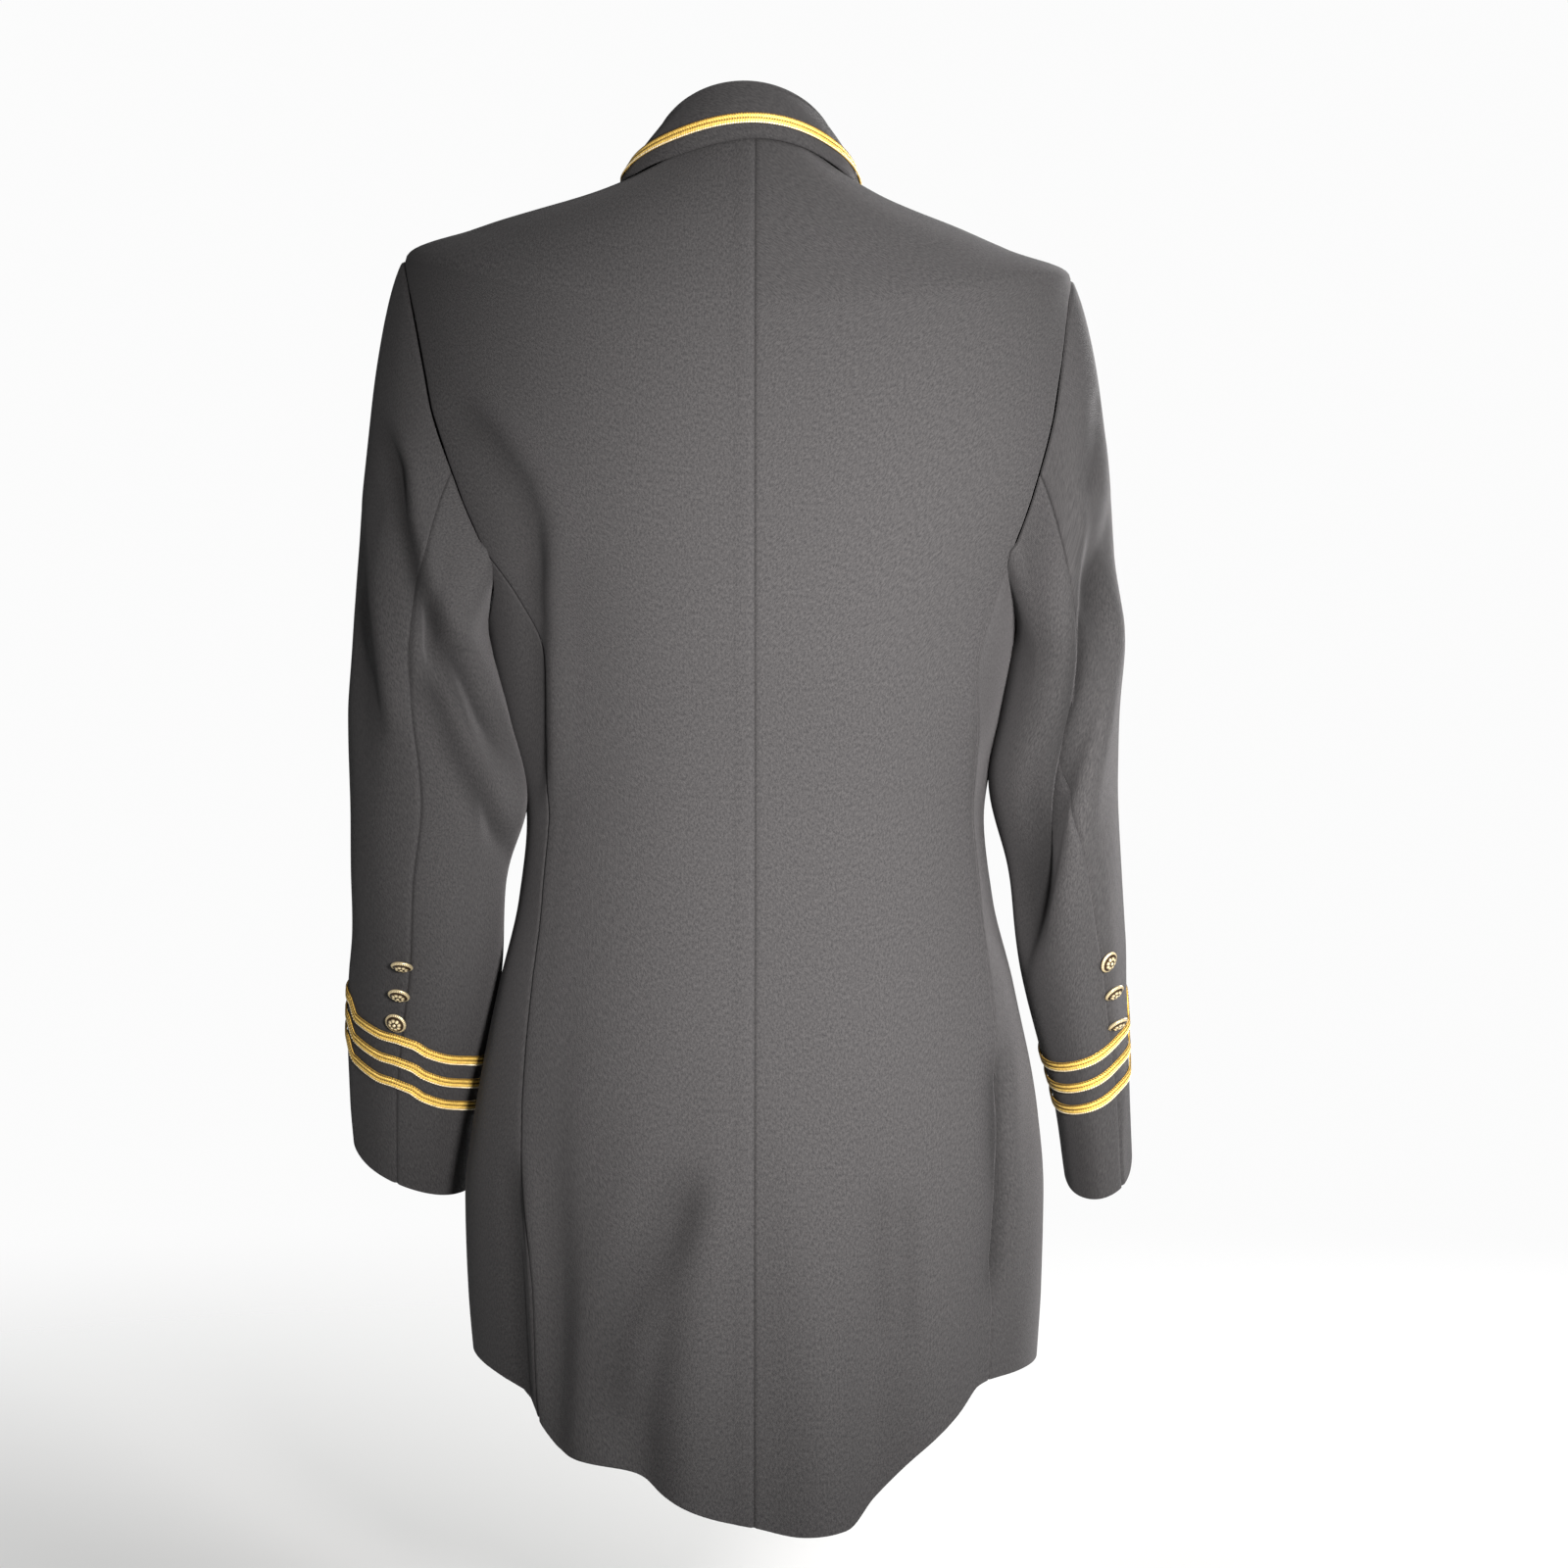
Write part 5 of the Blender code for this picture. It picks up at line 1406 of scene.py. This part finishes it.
def button(name, radius, height, place, out, node, up=UPWARD):
    """Domed metal button with a roped rim and a rosette of petals."""
    petals = bpy.context.scene.trim_sizes.petals
    turns = np.linspace(0.0, math.tau, 96, endpoint=False)[None, :]
    share = np.linspace(0.03, 1.0, 34)[:, None]
    dome = mix(0.42, 1.0, 1.0 - share ** 2.4)
    petal = np.abs(np.cos(turns * petals / 2.0)) ** 0.7 * np.sin(math.pi * ease(0.20, 0.74, share))
    boss = ease(0.20, 0.10, share)
    rope = (0.6 + 0.4 * np.cos(turns * 34.0)) * ease(0.80, 0.88, share)
    relief = np.clip(np.maximum(np.maximum(petal, boss), rope), 0.0, 1.0)
    rise = height * (dome - 0.13 + 0.13 * relief)
    under = [(1.02, 0.34), (1.0, 0.20), (0.9, 0.06), (0.5, 0.04)]
    radii = np.concatenate([share, np.array([[r] for r, _ in under])]) * radius
    rises = np.concatenate([rise, np.array([[h] for _, h in under]) * height * np.ones_like(turns)])
    lows = np.concatenate([relief, np.full((len(under), turns.size), 0.5)])
    right = np.cross(up, out)
    right = right / np.linalg.norm(right)
    upward = np.cross(out, right)
    x = (radii * np.cos(turns))[..., None] * right
    y = (radii * np.sin(turns))[..., None] * upward
    grid = place + x + y + rises[..., None] * out
    rows, sides = grid.shape[:2]
    index = np.arange(rows * sides).reshape(rows, sides)
    near, far = index[:-1], index[1:]
    faces = np.stack([near, far, np.roll(far, -1, axis=1), np.roll(near, -1, axis=1)], axis=-1)
    faces = faces.reshape(-1, 4).tolist()
    faces += [index[0].tolist(), index[-1, ::-1].tolist()]
    mesh = bpy.data.meshes.new(name)
    mesh.from_pydata(grid.reshape(-1, 3).tolist(), [], faces)
    layer = mesh.attributes.new("Relief", "FLOAT", "POINT")
    layer.data.foreach_set("value", lows.astype(np.float32).ravel())
    mesh.shade_smooth()
    mesh.materials.append(button_material())
    piece = link(bpy.data.objects.new(name, mesh))
    return dressed(piece, "gold_metal", node)


class JACKET_OT_braids(Operator):
    """Gold braid round the collar and round both cuffs"""

    bl_idname = "jacket.braids"
    bl_label = "Gold braid"

    def execute(self, context):
        angles = np.linspace(-COLLAR_END + BRAID_END, COLLAR_END - BRAID_END, 500)
        fall = np.linalg.norm(collar_points(0.0, 2.0) - collar_points(0.0, FOLD_END))
        across = 2.0 - COLLAR_BRAID_FROM_EDGE * (2.0 - FOLD_END) / fall
        path, outs = collar_skin(angles, np.full_like(angles, across))
        braid("collar_braid_gold", path, outs, False, "collar_braid")
        for side, word in SIDE_WORDS.items():
            around = side * np.linspace(-180.0, 180.0, 720, endpoint=False)
            rise = curve(BRAID_WAVES[side], "angle", "rise", around)
            for number, above_hem in enumerate(BRAID_ABOVE_HEM, start=1):
                path, outs = skin(side, around, sleeve_down(side, above_hem + rise))
                node = "cuff_braid_" + word + "_" + str(number)
                braid(node + "_gold", path, outs, True, node)
        return {"FINISHED"}


class JACKET_OT_buttons(Operator):
    """Domed gilt buttons of the cuffs and of the front"""

    bl_idname = "jacket.buttons"
    bl_label = "Buttons"

    def execute(self, context):
        sizes = context.scene.trim_sizes
        for side, word in SIDE_WORDS.items():
            hung = zip(BUTTON_ABOVE_HEM[side], BUTTON_TILTS[side])
            for number, (above_hem, tilt) in enumerate(hung, start=1):
                down = np.array([sleeve_down(side, above_hem)])
                angle = sleeve_seams(side, down)[0] + CUFF_BUTTON_FROM_SEAM
                place, out = skin(side, angle, down)
                node = "cuff_button_" + word + "_" + str(number)
                radius = sizes.button_radius
                place, facing = tilted(place[0] + out[0] * LAY_GAP, out[0], radius, tilt)
                button(node + "_gilt", radius, sizes.button_height, place, facing, node)
        for number, height in enumerate(FRONT_BUTTON_HEIGHTS, start=1):
            place = front_points(RIGHT, np.array([-180.0]), np.array([height]))
            out = body_normals(np.array([-180.0]), np.array([height]))
            move = cloth_move(place, out, "body")[0][0]
            place = place[0] + out[0] * (move + CLOTH + LAY_GAP)
            node = "front_button_" + str(number)
            button(node + "_gilt", sizes.front_radius, sizes.front_height, place, out[0], node)
        return {"FINISHED"}


def soft_light(name, power, width, place, aim, colour=(1.0, 1.0, 1.0)):
    """Square area light that points from its place to its aim."""
    light = bpy.data.lights.new(name, "AREA")
    light.energy = power
    light.size = width
    light.color = colour
    lamp = link(bpy.data.objects.new(name, light))
    lamp.location = place
    lamp.rotation_euler = (Vector(aim) - Vector(place)).to_track_quat("-Z", "Y").to_euler()
    return lamp


def floor_material():
    """Pale floor that fades away towards its rim."""
    material, tree, shader = empty_material("Pale floor")
    place = node_of(tree, "ShaderNodeTexCoord", (-900, 0))
    length = node_of(tree, "ShaderNodeVectorMath", (-700, 0), operation="LENGTH")
    tree.links.new(place.outputs["Object"], length.inputs[0])
    fade = node_of(tree, "ShaderNodeMapRange", (-500, 0), interpolation_type="SMOOTHSTEP")
    fade.inputs["From Min"].default_value = FLOOR_RADIUS * FADE_START
    fade.inputs["From Max"].default_value = FLOOR_RADIUS * FADE_END
    fade.inputs["To Min"].default_value = 1.0
    fade.inputs["To Max"].default_value = 0.0
    tree.links.new(length.outputs["Value"], fade.inputs["Value"])
    tree.links.new(fade.outputs["Result"], shader.inputs["Alpha"])
    shader.inputs["Base Color"].default_value = FLOOR_COLOUR
    shader.inputs["Roughness"].default_value = FLOOR_ROUGHNESS
    return material


def surround(seen, cast):
    """Pale surround: one strength where the camera sees it, another for the light it casts."""
    world = bpy.data.worlds.new("Surround")
    world.use_nodes = True
    tree = world.node_tree
    paths = node_of(tree, "ShaderNodeLightPath", (-600, 0))
    strength = node_of(tree, "ShaderNodeMix", (-300, 0), data_type="FLOAT")
    strength.inputs[2].default_value = cast
    strength.inputs[3].default_value = seen
    tree.links.new(paths.outputs["Is Camera Ray"], strength.inputs[0])
    background = tree.nodes["Background"]
    background.inputs["Color"].default_value = (1.0, 1.0, 1.0, 1.0)
    tree.links.new(strength.outputs[0], background.inputs["Strength"])
    return world


class JACKET_OT_studio(Operator):
    """Pale floor, soft lights and the camera behind the jacket"""

    bl_idname = "jacket.studio"
    bl_label = "Studio"

    def execute(self, context):
        sizes = context.scene.studio_sizes
        mesh = bpy.data.meshes.new("Floor")
        disc = bmesh.new()
        bmesh.ops.create_circle(disc, cap_ends=True, segments=FLOOR_SIDES, radius=FLOOR_RADIUS)
        disc.to_mesh(mesh)
        disc.free()
        mesh.materials.append(floor_material())
        floor = link(bpy.data.objects.new("Floor", mesh))
        floor.location.z = sizes.floor_height
        soft_light("Key", sizes.key_power, KEY_WIDTH, KEY_PLACE, KEY_AIM)
        lamp = bpy.data.lights.new("Spot", "SPOT")
        lamp.energy = sizes.spot_power
        lamp.spot_size = math.radians(SPOT_ANGLE)
        lamp.spot_blend = 1.0
        lamp.color = SPOT_COLOUR
        lamp.shadow_soft_size = SPOT_SOFTNESS
        spot = link(bpy.data.objects.new("Spot", lamp))
        spot.location = SPOT_PLACE
        spot.scale.x = SPOT_NARROW
        spot.rotation_euler = (Vector(SPOT_AIM) - spot.location).to_track_quat("-Z", "Y").to_euler()
        soft_light("Front", sizes.front_power, FRONT_WIDTH, FRONT_PLACE, FRONT_AIM)
        context.scene.view_settings.view_transform = "Standard"
        context.scene.world = surround(sizes.backdrop, sizes.sky)
        lens = bpy.data.cameras.new("Camera")
        lens.lens = CAMERA_LENS
        lens.sensor_width = SENSOR_WIDTH
        camera = link(bpy.data.objects.new("Camera", lens))
        camera.location = CAMERA_PLACE
        camera.rotation_euler = (math.radians(90.0), 0.0, math.radians(180.0))
        context.scene.camera = camera
        return {"FINISHED"}


STEPS = ("body", "sleeves", "collar", "braids", "buttons", "studio")


class JACKET_PT_panel(Panel):
    """Sizes, colours and steps of the jacket"""

    bl_idname = "JACKET_PT_panel"
    bl_label = "Uniform jacket"
    bl_space_type = "VIEW_3D"
    bl_region_type = "UI"
    bl_category = "Jacket"

    def draw(self, context):
        for name in GROUPS:
            group = getattr(context.scene, name)
            box = self.layout.box()
            for key in group.bl_rna.properties.keys():
                if key not in ("rna_type", "name"):
                    box.prop(group, key)
        for step in STEPS:
            self.layout.operator("jacket." + step)


GROUPS = {
    "cloth_sizes": CLOTH_PG_sizes,
    "cloth_colours": CLOTH_PG_colours,
    "trim_sizes": TRIM_PG_sizes,
    "studio_sizes": STUDIO_PG_sizes,
}
CLASSES = (
    *GROUPS.values(), JACKET_OT_body, JACKET_OT_sleeves, JACKET_OT_collar, JACKET_OT_braids,
    JACKET_OT_buttons, JACKET_OT_studio, JACKET_PT_panel,
)


def register():
    for item in CLASSES:
        bpy.utils.register_class(item)
    for name, group in GROUPS.items():
        setattr(bpy.types.Scene, name, PointerProperty(type=group))


def unregister():
    for name in GROUPS:
        delattr(bpy.types.Scene, name)
    for item in reversed(CLASSES):
        bpy.utils.unregister_class(item)


def main():
    register()
    for step in STEPS:
        getattr(bpy.ops.jacket, step)()


if __name__ == "__main__":
    main()
